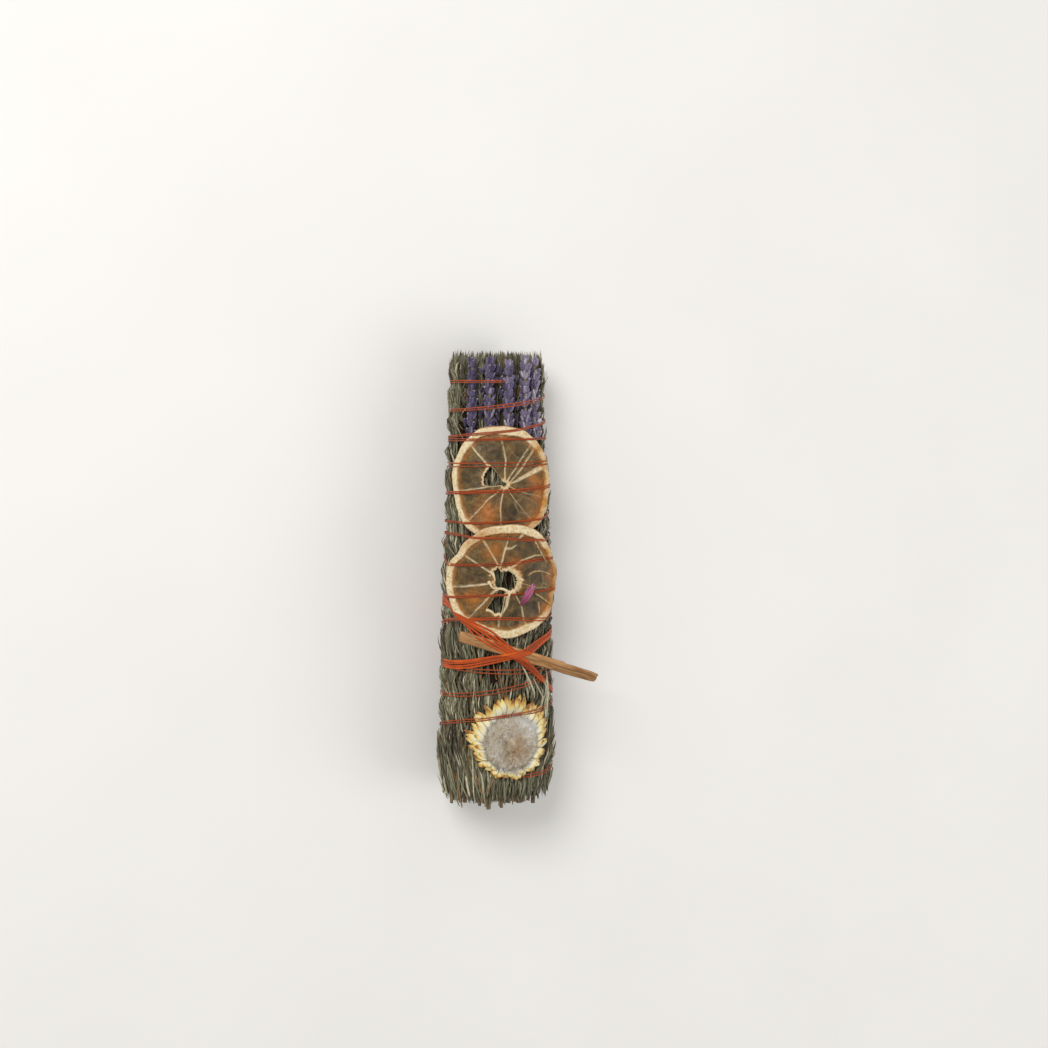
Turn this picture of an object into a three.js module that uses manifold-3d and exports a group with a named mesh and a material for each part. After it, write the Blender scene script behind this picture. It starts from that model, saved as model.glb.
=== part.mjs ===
// A bundle of dried rosemary and lavender bound with thread, dressed with citrus slices, a wood
// stick, a strawflower, a petal and dry stalks. Millimetres, +Z up. The bundle lies along Y with
// its cut stems at -Y and its tips at +Y, its dressed front looks up, and it rests on z = 0.

import * as THREE from 'three';
import { mergeVertices } from 'three/addons/utils/BufferGeometryUtils.js';
import Module from 'manifold-3d';

const wasm = await Module();
wasm.setup();

const gap = 0.3;

const bundle = {
  // Half width at places along Y, straight between them.
  girth: [[-75, 28.2], [20, 26], [85, 23.2]],
  flattening: 0.9,
  underside: 1.8,
  foliageStart: -102,
  foliageEnd: 97,
  stemStart: -111,
  tipsEnd: 111,
};

const rosemary = {
  sprigs: 10,
  lanes: 5,
  rows: 8,
  needleLength: 22,
  needleWidth: 1.9,
  needleThickness: 1.2,
  layerDepth: 3.4,
  stemRadius: 1.7,
  flare: 2.2,
};

const lavender = {
  spikes: 5,
  spacing: THREE.MathUtils.degToRad(28),
  reach: 4.05,
  start: 63,
  whorlSpacing: 6.2,
  budsPerWhorl: 5,
  budLength: 5.6,
  budRadius: 1.15,
  stemRadius: 1.1,
};

// Membranes are given in degrees round the core, from the right.
const upperSlice = {
  centre: [-4.3, 46],
  halfWidth: 25,
  halfHeight: 27.8,
  bendRadius: 29,
  hole: 2.2,
  membranes: [14, 51, 94, 130, 190, 227, 265, 308, 342],
  wavePhase: 1.2,
};

const lowerSlice = {
  centre: [-4.6, 0.6],
  halfWidth: 27.6,
  halfHeight: 27.2,
  bendRadius: 48,
  hole: 4.2,
  membranes: [24, 88, 119, 148, 186, 227, 263, 296, 350],
  wavePhase: 4,
};

const slicePart = {
  rimThickness: 2.6,
  fleshThickness: 1.4,
  membraneThickness: 2.1,
  coreThickness: 2.5,
};

const stick = {
  centre: [7, -35.8],
  slope: -0.338,
  length: 74,
  width: 5.7,
  thickness: 3.4,
};

const flower = {
  centre: [-0.7, -77.6],
  tipShift: 3,
  headRadius: 11.9,
  headHeight: 5,
  receptacleRadius: 14.4,
  receptacleDrop: 1.6,
  bractReach: 20.4,
  bractWidth: 3.5,
  bractThickness: 0.8,
  recess: 7.6,
};

const thread = {
  width: 1.2,
  height: 0.8,
  stepsPerTurn: 15,
  stepsPerLoop: 30,
  tieWidth: 2.8,
  tieHeight: 0.9,
};

// Each crossing of the bundle's front line: its place along Y, its slope there, and how far the
// turn after it swings towards the tips at the back.
const winding = [
  [-93.5, -0.08, 0], [-63.7, 0.1, 0], [-51, 0.2, 0], [-43.3, -0.03, -4], [-17.5, -0.1, 0],
  [-5.5, 0.02, 8], [9.5, 0.1, -2], [20.7, -0.1, 2], [28.6, 0.04, 0], [43.2, 0.04, 0],
  [55.4, 0, 0], [67.2, 0, -2], [71.4, 0.12, 0], [83, 0.12, 0], [94, 0, 0],
];

// The two loops of the cross tie: their place on the front line and how far they swing to a side.
const tieLoops = [
  { place: -34.5, swing: -23 },
  { place: -34.2, swing: 7.5 },
];

const turn = 2 * Math.PI;

function seeded(seed) {
  let state = seed;
  return () => {
    state = (state + 0x6d2b79f5) | 0;
    let t = Math.imul(state ^ (state >>> 15), 1 | state);
    t = (t + Math.imul(t ^ (t >>> 7), 61 | t)) ^ t;
    return ((t ^ (t >>> 14)) >>> 0) / 4294967296;
  };
}

function between(random, low, high) {
  return low + (high - low) * random();
}

// 0 before start, 1 after end, smooth between, for start below end.
function step(start, end, value) {
  return THREE.MathUtils.smoothstep(value, start, end);
}

// The bundle

function bundleRadius(y) {
  const [cutEnd, middle, tipEnd] = bundle.girth;
  const [a, b] = y < middle[0] ? [cutEnd, middle] : [middle, tipEnd];
  const share = THREE.MathUtils.clamp((y - a[0]) / (b[0] - a[0]), 0, 1);
  return a[1] + (b[1] - a[1]) * share;
}

function axisHeight(y) {
  return bundle.underside + bundle.flattening * bundleRadius(y);
}

function topHeight(y) {
  return axisHeight(y) + bundle.flattening * bundleRadius(y);
}

// The point at an angle from the front line, a place along Y and a distance from the axis.
function onBundle(angle, y, radius) {
  return new THREE.Vector3(
    radius * Math.sin(angle),
    y,
    axisHeight(y) + bundle.flattening * radius * Math.cos(angle),
  );
}

function outward(angle) {
  return new THREE.Vector3(Math.sin(angle), 0, Math.cos(angle) / bundle.flattening).normalize();
}

function signedAngle(angle) {
  return THREE.MathUtils.euclideanModulo(angle + Math.PI, turn) - Math.PI;
}

// How far out rosemary may reach: it leaves room for the lavender and for the flower's back.
function rosemaryLimit(angle, y) {
  const full = bundleRadius(y);
  const side = Math.abs(signedAngle(angle));
  const spikeAngle = lavender.spacing * (lavender.spikes - 1) / 2;
  const underLavender = step(lavender.start - 7, lavender.start - 1, y)
    * (1 - step(spikeAngle + 0.27, spikeAngle + 0.36, side));
  const across = signedAngle(angle) * full - flower.centre[0];
  const fromFlower = Math.hypot(across, y - flower.centre[1]);
  const underFlower = 1 - step(flower.receptacleRadius + 1, flower.receptacleRadius + 4, fromFlower);
  return full - (2 * lavender.reach + 2 * gap) * underLavender - flower.recess * underFlower;
}

// Solids

// A closed skin over rings of points; a ring of one point is a tip, and looped joins last to first.
function skin(rings, looped = false) {
  const positions = [];
  const starts = [];
  for (const ring of rings) {
    starts.push(positions.length / 3);
    for (const point of ring) positions.push(point.x, point.y, point.z);
  }
  const index = [];
  const bands = looped ? rings.length : rings.length - 1;
  for (let i = 0; i < bands; i++) {
    const next = (i + 1) % rings.length;
    const count = Math.max(rings[i].length, rings[next].length);
    for (let j = 0; j < count; j++) {
      const k = (j + 1) % count;
      const nearIsTip = rings[i].length === 1;
      const farIsTip = rings[next].length === 1;
      const a = starts[i] + (nearIsTip ? 0 : j);
      const b = starts[i] + (nearIsTip ? 0 : k);
      const c = starts[next] + (farIsTip ? 0 : j);
      const d = starts[next] + (farIsTip ? 0 : k);
      if (!nearIsTip) index.push(a, b, c);
      if (!farIsTip) index.push(b, d, c);
    }
  }
  if (!looped) {
    const last = rings.length - 1;
    for (let j = 1; j + 1 < rings[0].length; j++) index.push(starts[0], starts[0] + j + 1, starts[0] + j);
    for (let j = 1; j + 1 < rings[last].length; j++) {
      index.push(starts[last], starts[last] + j, starts[last] + j + 1);
    }
  }
  const geometry = new THREE.BufferGeometry();
  geometry.setAttribute('position', new THREE.Float32BufferAttribute(positions, 3));
  geometry.setIndex(index);
  if (signedVolume(geometry) < 0) geometry.setIndex(index.reverse());
  return geometry;
}

function signedVolume(geometry) {
  const position = geometry.getAttribute('position');
  const index = geometry.getIndex();
  const a = new THREE.Vector3();
  const b = new THREE.Vector3();
  const c = new THREE.Vector3();
  let sum = 0;
  for (let i = 0; i < index.count; i += 3) {
    a.fromBufferAttribute(position, index.getX(i));
    b.fromBufferAttribute(position, index.getX(i + 1));
    c.fromBufferAttribute(position, index.getX(i + 2));
    sum += a.dot(b.cross(c)) / 6;
  }
  return sum;
}

function toSolid(geometry) {
  const bare = geometry.clone();
  bare.deleteAttribute('normal');
  bare.deleteAttribute('uv');
  const merged = mergeVertices(bare, 1e-4);
  return new wasm.Manifold(new wasm.Mesh({
    numProp: 3,
    vertProperties: new Float32Array(merged.getAttribute('position').array),
    triVerts: new Uint32Array(merged.getIndex().array),
  }));
}

function toGeometry(solid) {
  const mesh = solid.getMesh();
  const geometry = new THREE.BufferGeometry();
  geometry.setAttribute('position', new THREE.Float32BufferAttribute(mesh.vertProperties, 3));
  geometry.setIndex(new THREE.Uint32BufferAttribute(mesh.triVerts, 1));
  return geometry;
}

// One body of all the pieces: loose scraps are dropped.
function fuse(geometries) {
  const solid = geometries.map(toSolid).reduce((sum, piece) => sum.add(piece));
  const bodies = solid.decompose().sort((a, b) => b.volume() - a.volume());
  return toGeometry(bodies[0]);
}

function moved(point, ...steps) {
  const result = point.clone();
  for (const [direction, distance] of steps) result.addScaledVector(direction, distance);
  return result;
}

// A three-sided section with its ridge outward.
function ridgeRing(centre, side, up, width, height) {
  return [
    moved(centre, [side, -width / 2], [up, -height / 2]),
    moved(centre, [side, width / 2], [up, -height / 2]),
    moved(centre, [up, height / 2]),
  ];
}

// A three-sided blade from its sunk root over its widest place to its point.
function needle(root, middle, tip, out, width, thickness) {
  const along = tip.clone().sub(root).normalize();
  const side = along.clone().cross(out).normalize();
  const up = side.clone().cross(along).normalize();
  return skin([[root], ridgeRing(middle, side, up, width, thickness), [tip]]);
}

// A round rod along points, with an even radius or one for each point.
function rod(points, radii, sides) {
  const curve = new THREE.CatmullRomCurve3(points);
  const rings = points.map((point, i) => {
    const along = curve.getTangent(i / (points.length - 1));
    const side = along.clone().cross(new THREE.Vector3(0.1, 0.2, 1)).normalize();
    const up = side.clone().cross(along).normalize();
    const radius = Array.isArray(radii) ? radii[i] : radii;
    return Array.from({ length: sides }, (_, j) => {
      const a = (j / sides) * turn;
      return moved(point, [side, radius * Math.cos(a)], [up, radius * Math.sin(a)]);
    });
  });
  return skin(rings);
}

// The thread's course

// The place along Y of the winding at an angle counted on through all its turns.
function windingPlace(angle) {
  const turns = THREE.MathUtils.clamp(angle / turn, 0, winding.length - 1);
  const i = Math.min(Math.floor(turns), winding.length - 2);
  const t = turns - i;
  const [y0, slope0, swing] = winding[i];
  const [y1, slope1] = winding[i + 1];
  const run = turn * bundle.girth[1][1];
  const t2 = t * t;
  const t3 = t2 * t;
  return y0 * (2 * t3 - 3 * t2 + 1) + y1 * (3 * t2 - 2 * t3)
    + run * (slope0 * (t3 - 2 * t2 + t) + slope1 * (t3 - t2))
    + swing * Math.sin(Math.PI * t) ** 2;
}

function loopPlace(loop, angle) {
  return loop.place + loop.swing * Math.sin(angle);
}

// Every place along Y where thread passes at an angle, in order.
function threadPlaces(angle) {
  const first = THREE.MathUtils.euclideanModulo(angle, turn);
  const places = tieLoops.map((loop) => loopPlace(loop, angle));
  for (let i = 0; i + 1 < winding.length; i++) places.push(windingPlace(first + i * turn));
  return places.sort((a, b) => a - b);
}

function clearOfThread(angle, from, to) {
  const margin = 2;
  return !threadPlaces(angle).some((y) => y > from - margin && y < to + margin);
}

// Rosemary

function sprigCore(centre, halfAngle) {
  const front = Math.abs(signedAngle(centre)) < 1.5;
  const places = front
    ? [-102, -98.5, -94, -75, -61, -56, 20, 56, 62, 85, 94, 97]
    : [-102, -98.5, -75, 20, 85, 94, 97];
  const arcPoints = 4;
  const rings = places.map((y) => {
    const inset = y < -100 || y > 95 ? 0.72 : 1;
    const ring = [onBundle(centre, y, 1.2)];
    for (let i = 0; i < arcPoints; i++) {
      const side = (i / (arcPoints - 1)) * 2 - 1;
      const angleAt = centre + side * halfAngle;
      const radius = (rosemaryLimit(angleAt, y) - rosemary.layerDepth) * inset;
      const clearance = Math.asin((gap * 0.6) / radius);
      ring.push(onBundle(angleAt - side * clearance, y, radius));
    }
    return ring;
  });
  return skin(rings);
}

function sprigStems(random, centre) {
  const main = bundle.girth[0][1] * 0.52;
  const stems = [[0, main, rosemary.stemRadius], [0.17, main * 1.42, 1.1], [-0.14, main * 1.3, 0.9]];
  return stems.map(([turnBy, radius, thickness]) => {
    const start = bundle.stemStart + between(random, 0, 4);
    const inside = bundle.foliageStart + 12;
    return rod([
      onBundle(centre + turnBy, start, radius),
      onBundle(centre + turnBy, inside, radius),
    ], thickness, 5);
  });
}

function sprigNeedles(random, centre, halfAngle) {
  const needles = [];
  const widest = halfAngle - (rosemary.needleWidth / 2 + gap) / 19;
  const pitch = (bundle.foliageEnd + 6 - bundle.foliageStart) / rosemary.rows;
  for (let lane = 0; lane < rosemary.lanes; lane++) {
    const laneAngle = (lane / (rosemary.lanes - 1)) * 2 - 1;
    for (let row = 0; row < rosemary.rows; row++) {
      const stagger = lane % 2 ? pitch / 2 : 0;
      const length = rosemary.needleLength * between(random, 0.85, 1.15);
      const start = bundle.foliageStart + 2 + row * pitch + stagger + between(random, -3, 3);
      const from = Math.max(start, bundle.foliageStart + 1);
      const to = Math.min(from + length, bundle.tipsEnd - 4);
      const rootAngle = laneAngle * widest * between(random, 0.85, 1);
      const tipAngle = THREE.MathUtils.clamp(rootAngle + between(random, -0.045, 0.045), -widest, widest);
      if (to - from < length * 0.6) continue;
      needles.push(layNeedle(random, centre, rootAngle, tipAngle, from, to));
    }
  }
  return needles;
}

function layNeedle(random, centre, rootAngle, tipAngle, from, to) {
  const over = from + (to - from) * between(random, 0.3, 0.4);
  const overAngle = (rootAngle + tipAngle) / 2;
  const rootLimit = rosemaryLimit(centre + rootAngle, from);
  const low = Math.min(
    rosemaryLimit(centre + overAngle, over),
    rosemaryLimit(centre + overAngle, (from + over) / 2),
    rosemaryLimit(centre + tipAngle, (over + to) / 2),
    rosemaryLimit(centre + tipAngle, to),
  );
  const beyond = Math.max(0, to - bundle.foliageEnd) * 0.25;
  const side = Math.abs(signedAngle(centre + tipAngle));
  const free = side > 1.35 && side < 2.7 && clearOfThread(centre + tipAngle, over + 2, to);
  const flare = free && random() < 0.6 ? between(random, 0.3, 1) * rosemary.flare : 0;
  const out = outward(centre + overAngle);
  const edge = rosemary.needleThickness / 2 + 0.15;
  return needle(
    onBundle(centre + rootAngle, from, rootLimit - rosemary.layerDepth - 2.6),
    onBundle(centre + overAngle, over, low - edge),
    onBundle(centre + tipAngle, to, low - 0.3 - beyond + flare),
    out,
    rosemary.needleWidth,
    rosemary.needleThickness,
  );
}

// Needles that stand out of the tip end's face.
function tipNeedles(random, centre, halfAngle) {
  const needles = [];
  for (let i = 0; i < 5; i++) {
    const radius = 6 + i * 3.2;
    const widest = halfAngle - (rosemary.needleWidth / 2 + 2 * gap) / radius;
    const angle = centre + between(random, -1, 1) * Math.max(widest, 0) * 0.6;
    const reach = Math.min(radius, rosemaryLimit(angle, bundle.foliageEnd) - rosemary.layerDepth - 1.5);
    const end = bundle.tipsEnd - 1 - between(random, 0, 5) - Math.abs(radius - 12) * 0.25;
    needles.push(needle(
      onBundle(angle, bundle.foliageEnd - 7, reach - 1),
      onBundle(angle, bundle.foliageEnd + 3, reach),
      onBundle(angle, end, reach),
      outward(angle),
      rosemary.needleWidth * 0.9,
      rosemary.needleThickness,
    ));
  }
  return needles;
}

// Needles of the underside that bend out between two threads and lie flat on the ground.
function feet() {
  const tie = tieLoops[0].place;
  const places = threadPlaces(Math.PI);
  const shapes = [];
  places.forEach((place, i) => {
    const next = places[i + 1];
    const nearTie = Math.abs(place - tie) < 3 || Math.abs(next - tie) < 3;
    if (next === undefined || next - place < 14 || nearTie) return;
    const middle = (place + next) / 2;
    const half = Math.min((next - place) / 2 - 2.6, 6.2);
    const sides = place < 0 && next > 0 ? [-0.19, 0, 0.19] : [-0.19, 0.19];
    for (const side of sides) shapes.push(foot(Math.PI + side, middle, half));
  });
  return shapes;
}

function foot(angle, middle, half) {
  const x = onBundle(angle, middle, bundleRadius(middle)).x;
  const across = new THREE.Vector3(1, 0, 0);
  const up = new THREE.Vector3(0, 0, 1);
  const rings = [-half, half].map((along) => {
    const low = new THREE.Vector3(x, middle + along, 0);
    const width = rosemary.needleWidth;
    return [
      moved(low, [across, -width / 2]),
      moved(low, [across, width / 2]),
      moved(low, [up, rosemary.needleThickness]),
    ];
  });
  const root = new THREE.Vector3(x, middle - half - 4, bundle.underside + 6);
  const tip = new THREE.Vector3(x, middle + half + 4, bundle.underside + 3.6);
  return skin([[root], ...rings, [tip]]);
}

function rosemarySprig(number) {
  const random = seeded(100 + number);
  const spacing = turn / rosemary.sprigs;
  const centre = number * spacing;
  const pieces = [
    sprigCore(centre, spacing / 2),
    ...sprigStems(random, centre),
    ...sprigNeedles(random, centre, spacing / 2),
    ...tipNeedles(random, centre, spacing / 2),
  ];
  if (number === rosemary.sprigs / 2) pieces.push(...feet());
  return fuse(pieces);
}

// Lavender

function lavenderSpike(number) {
  const random = seeded(300 + number);
  const angle = (number - (lavender.spikes - 1) / 2) * lavender.spacing;
  const end = bundle.tipsEnd - 2 - between(random, 0, 6);
  const centreAt = (y) => onBundle(angle, y, bundleRadius(y) - lavender.reach - 0.35);
  const places = [lavender.start, 84, end - 3];
  const pieces = [rod(places.map(centreAt), lavender.stemRadius, 5)];
  const whorls = Math.floor((end - lavender.start - 6) / lavender.whorlSpacing);
  for (let row = 0; row < whorls; row++) {
    const y = end - 3 - row * lavender.whorlSpacing;
    for (let i = 0; i < lavender.budsPerWhorl; i++) {
      const around = ((i + (row % 2) / 2) / lavender.budsPerWhorl) * turn + between(random, -0.2, 0.2);
      pieces.push(bud(centreAt, y, around, row === 0 ? 0.55 : 1));
    }
  }
  return fuse(pieces);
}

// A bud leans out of the stem: a point at its root, three sides, a point at its mouth.
function bud(centreAt, y, around, spread) {
  const out = new THREE.Vector3(Math.cos(around), 0, Math.sin(around));
  const side = new THREE.Vector3(-Math.sin(around), 0, Math.cos(around));
  const length = lavender.budLength;
  const reach = lavender.reach - lavender.budRadius - 0.1;
  const root = moved(centreAt(y - 1.5), [out, lavender.stemRadius * 0.6]);
  const belly = moved(centreAt(y + length * 0.35), [out, reach * 0.85 * spread]);
  const mouth = moved(centreAt(y + length * 0.8), [out, (reach + 0.7) * spread]);
  const along = mouth.clone().sub(root).normalize();
  const up = side.clone().cross(along).normalize();
  const ring = [[1, -0.6], [0, 1.1], [-1, -0.6]].map(([a, b]) => moved(
    belly,
    [side, a * lavender.budRadius],
    [up, b * lavender.budRadius],
  ));
  return skin([[root], ring, [mouth]]);
}

// Citrus slices

// A point of a slice: how far across and along from its centre, and how high over its underside.
function onSlice(slice, across, along, height) {
  const turned = (slice.centre[0] + across) / slice.bendRadius;
  const radius = slice.bendRadius + height;
  const y = slice.centre[1] + along;
  return new THREE.Vector3(
    radius * Math.sin(turned),
    y,
    slice.underside(y) - slice.bendRadius + radius * Math.cos(turned),
  );
}

function citrusSlice(slice) {
  const angles = slice.membranes.flatMap((degrees, i) => {
    const next = slice.membranes[i + 1] ?? slice.membranes[0] + 360;
    return [0, 0.22, 0.5, 0.78].map((part) => {
      return [THREE.MathUtils.degToRad(degrees + part * (next - degrees)), part === 0];
    });
  });
  const outline = (a) => 1 + 0.016 * Math.sin(3 * a + slice.wavePhase) + 0.012 * Math.sin(7 * a);
  const flesh = slicePart.fleshThickness;
  const membrane = slicePart.membraneThickness;
  // Distance from the core as a share of the slice, height in the flesh and height on a membrane.
  const hole = slice.hole / slice.halfWidth;
  const profile = [
    [hole, flesh, flesh],
    [hole + 0.06, slicePart.coreThickness, slicePart.coreThickness],
    [hole + 0.13, flesh, membrane],
    [0.46, flesh, membrane],
    [0.66, flesh, membrane],
    [0.83, flesh, membrane],
    [0.88, slicePart.rimThickness - 0.2, slicePart.rimThickness - 0.2],
    [0.95, slicePart.rimThickness, slicePart.rimThickness],
    [1, slicePart.rimThickness * 0.45, slicePart.rimThickness * 0.45],
    [0.97, 0, 0],
    [0.73, 0, 0],
    [0.49, 0, 0],
    [hole + 0.06, 0, 0],
  ];
  const rings = profile.map(([share, height, ridge]) => angles.map(([a, onMembrane]) => {
    const reach = share < 0.5 ? share : share * outline(a);
    return onSlice(
      slice,
      reach * slice.halfWidth * Math.cos(a),
      reach * slice.halfHeight * Math.sin(a),
      onMembrane ? ridge : height,
    );
  }));
  return skin(rings, true);
}

upperSlice.underside = (y) => topHeight(y) + gap + 0.15;
const sliceOverlap = upperSlice.centre[1] - upperSlice.halfHeight;
const lowerSliceFoot = lowerSlice.centre[1] - lowerSlice.halfHeight;
lowerSlice.underside = (y) => {
  const low = topHeight(lowerSliceFoot) + gap + 0.1;
  const high = upperSlice.underside(sliceOverlap) + slicePart.rimThickness + gap + 0.35;
  return THREE.MathUtils.mapLinear(y, lowerSliceFoot, sliceOverlap, low, high);
};

// Wood stick

function woodStick() {
  const random = seeded(41);
  const along = new THREE.Vector3(1, stick.slope, 0).normalize();
  const side = new THREE.Vector3(-along.y, along.x, 0);
  const up = new THREE.Vector3(0, 0, 1);
  const y = stick.centre[1];
  const height = topHeight(y - 4) + gap + 0.1 + stick.thickness / 2;
  const centre = new THREE.Vector3(stick.centre[0], y, height);
  const section = [[-0.5, -0.32], [-0.3, -0.5], [0.36, -0.5], [0.5, -0.22], [0.44, 0.42], [0.1, 0.5], [-0.42, 0.4]];
  const rings = [];
  const steps = 12;
  for (let i = 0; i <= steps; i++) {
    const t = i / steps - 0.5;
    const narrow = i === 0 || i === steps ? 0.86 : 1;
    const wide = narrow * between(random, 0.95, 1.04);
    rings.push(section.map(([a, b]) => moved(
      centre,
      [along, t * stick.length + (i === 0 || i === steps ? a * 1.6 : 0)],
      [side, a * stick.width * wide],
      [up, b * stick.thickness * narrow],
    )));
  }
  return skin(rings);
}

// Strawflower

function flowerGround(x, y) {
  const radius = bundleRadius(y);
  const share = Math.min(Math.abs(x) / radius, 0.98);
  return axisHeight(y) + bundle.flattening * radius * Math.sqrt(1 - share * share);
}

const receptacleTop = topHeight(flower.centre[1]) - flower.receptacleDrop;

// A bract from its root, sunk in the receptacle's edge, over its widest place to its point.
function bract(around, root, widest, tip, width) {
  const [cx, cy] = flower.centre;
  const out = new THREE.Vector3(Math.cos(around), Math.sin(around), 0);
  const side = new THREE.Vector3(-Math.sin(around), Math.cos(around), 0);
  const up = new THREE.Vector3(0, 0, 1);
  const at = ([distance, lift], share) => {
    const point = new THREE.Vector3(cx, cy + flower.tipShift * share, 0).addScaledVector(out, distance);
    point.z = flowerGround(point.x, point.y) + lift;
    return point;
  };
  const half = flower.bractThickness / 2;
  const blade = (centre, wide) => [
    moved(centre, [side, -wide / 2], [up, -half]),
    moved(centre, [side, wide / 2], [up, -half]),
    moved(centre, [side, wide / 2], [up, half]),
    moved(centre, [side, -wide / 2], [up, half]),
  ];
  const start = new THREE.Vector3(cx, cy, receptacleTop + root[1]).addScaledVector(out, root[0]);
  return skin([blade(start, width * 0.6), blade(at(widest, 0.5), width), [at(tip, 1)]]);
}

function strawflowerBracts() {
  const [cx, cy] = flower.centre;
  const random = seeded(57);
  const radius = flower.receptacleRadius;
  const depth = flower.recess - flower.receptacleDrop - 0.6;
  const profile = [[0, -depth], [9, -depth], [radius, -3.4], [radius, 0], [0, 0]];
  const cup = new THREE.LatheGeometry(profile.map(([r, h]) => new THREE.Vector2(r, h)), 18);
  cup.rotateX(Math.PI / 2);
  cup.translate(cx, cy, receptacleTop);
  const reach = flower.bractReach;
  const width = flower.bractWidth;
  const layers = [
    { count: 17, root: [13.2, -1.9], widest: [17.2, 0.8], tip: [reach, 0.7], width },
    { count: 17, root: [13.2, -0.75], widest: [16.6, 2.2], tip: [reach * 0.9, 3], width },
    { count: 14, root: [13.3, -0.7], widest: [14.7, 3.4], tip: [reach * 0.76, 5], width: width * 0.85 },
  ];
  const pieces = [cup];
  layers.forEach((layer, row) => {
    for (let i = 0; i < layer.count; i++) {
      const around = ((i + row * 0.37) / layer.count) * turn + between(random, -0.04, 0.04);
      const tip = [layer.tip[0] * between(random, 0.96, 1.03), layer.tip[1]];
      pieces.push(bract(around, layer.root, layer.widest, tip, layer.width));
    }
  });
  return fuse(pieces);
}

// The dome of the fluffy head, raised in tufts.
function strawflowerHead() {
  const [cx, cy] = flower.centre;
  const random = seeded(71);
  const around = 24;
  const base = receptacleTop + gap;
  const rows = [[0.96, 0], [1.03, 0.3], [0.96, 0.55], [0.8, 0.78], [0.55, 0.93], [0.28, 1]];
  const rings = rows.map(([share, rise], row) => Array.from({ length: around }, (_, i) => {
    const a = ((i + (row % 2) / 2) / around) * turn;
    const bump = row === 0 ? 0 : between(random, -0.8, 0.35);
    const radius = flower.headRadius * share + bump;
    return new THREE.Vector3(
      cx + radius * Math.cos(a),
      cy + radius * Math.sin(a),
      base + flower.headHeight * rise + bump * 0.8,
    );
  }));
  rings.push([new THREE.Vector3(cx, cy, base + flower.headHeight - 0.3)]);
  return skin(rings);
}

// Petal and dry stalks on the lower slice

// The petal leans on the thread that it lies over, and its low end rests on the slice.
const petalPlace = { low: [2.4, -10.3], high: [7.8, -0.9], width: 3.4, thickness: 0.8, overThread: 2.6 };

const stalks = [
  { places: [[8.5, 20], [11.5, 15], [15.7, 8.9]], radius: 0.4, lift: 2.3 },
  { places: [[5.6, 3.4], [10.8, 5.3], [17.9, 3.1]], radius: 0.35, lift: 0.9 },
  { places: [[9.6, -5.3], [14, -8.2], [18.6, -11.4]], radius: 0.4, lift: 0.9 },
  { places: [[11.4, -9.7], [11.9, -12.4], [12.5, -15.5]], radius: 0.35, lift: 0.9 },
];

// The point over the lower slice's underside for a place in plan.
function overLowerSlice([x, y], height) {
  const across = lowerSlice.bendRadius * Math.asin(x / (lowerSlice.bendRadius + height));
  return onSlice(lowerSlice, across - lowerSlice.centre[0], y - lowerSlice.centre[1], height);
}

function petal() {
  const height = slicePart.membraneThickness + gap + petalPlace.thickness / 2 + 0.1;
  const [x0, y0] = petalPlace.low;
  const [x1, y1] = petalPlace.high;
  const rings = [0, 0.3, 0.6, 0.9, 1].map((t) => {
    const lift = petalPlace.overThread * step(0, 0.3, t) + 0.4 * t * t;
    const centre = overLowerSlice([x0 + (x1 - x0) * t, y0 + (y1 - y0) * t], height + lift);
    const along = new THREE.Vector3(x1 - x0, y1 - y0, 0).normalize();
    const side = new THREE.Vector3(-along.y, along.x, 0);
    const up = new THREE.Vector3(0, 0, 1);
    const wide = petalPlace.width * (0.25 + 0.95 * Math.sin(Math.PI * Math.min(t * 0.9 + 0.03, 1)));
    const half = petalPlace.thickness / 2;
    return [
      moved(centre, [side, -wide / 2], [up, 0.25 - half]),
      moved(centre, [up, -half]),
      moved(centre, [side, wide / 2], [up, 0.25 - half]),
      moved(centre, [side, wide / 2], [up, 0.25 + half]),
      moved(centre, [up, half]),
      moved(centre, [side, -wide / 2], [up, 0.25 + half]),
    ];
  });
  return skin(rings);
}

function dryStalk({ places, radius, lift }) {
  const base = slicePart.membraneThickness + gap + radius + 0.15;
  const curve = new THREE.CatmullRomCurve3(places.map((place, i) => {
    const end = i === places.length - 1 ? lift * 0.2 : lift;
    return overLowerSlice(place, base + end * 0.4);
  }));
  return rod(curve.getPoints(4), radius, 5);
}

// Binding thread

// Points all over the faces of the dressing that the thread is drawn over.
function coverPoints(geometries) {
  const points = [];
  const cuts = 3;
  for (const geometry of geometries) {
    const position = geometry.getAttribute('position');
    const index = geometry.getIndex();
    const corner = (i) => new THREE.Vector3().fromBufferAttribute(position, index.getX(i));
    for (let i = 0; i < index.count; i += 3) {
      const [a, b, c] = [corner(i), corner(i + 1), corner(i + 2)];
      for (let u = 0; u <= cuts; u++) {
        for (let v = 0; u + v <= cuts; v++) {
          const point = a.clone().multiplyScalar(1 - (u + v) / cuts);
          points.push(point.addScaledVector(b, u / cuts).addScaledVector(c, v / cuts));
        }
      }
    }
  }
  return points;
}

function convexHull(points) {
  const sorted = [...points].sort((a, b) => a.x - b.x || a.y - b.y);
  const turnsIn = (o, a, b) => (a.x - o.x) * (b.y - o.y) - (a.y - o.y) * (b.x - o.x) <= 0;
  const half = (list) => {
    const chain = [];
    for (const point of list) {
      while (chain.length > 1 && turnsIn(chain[chain.length - 2], chain[chain.length - 1], point)) chain.pop();
      chain.push(point);
    }
    return chain.slice(0, -1);
  };
  return [...half(sorted), ...half([...sorted].reverse())];
}

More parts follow.
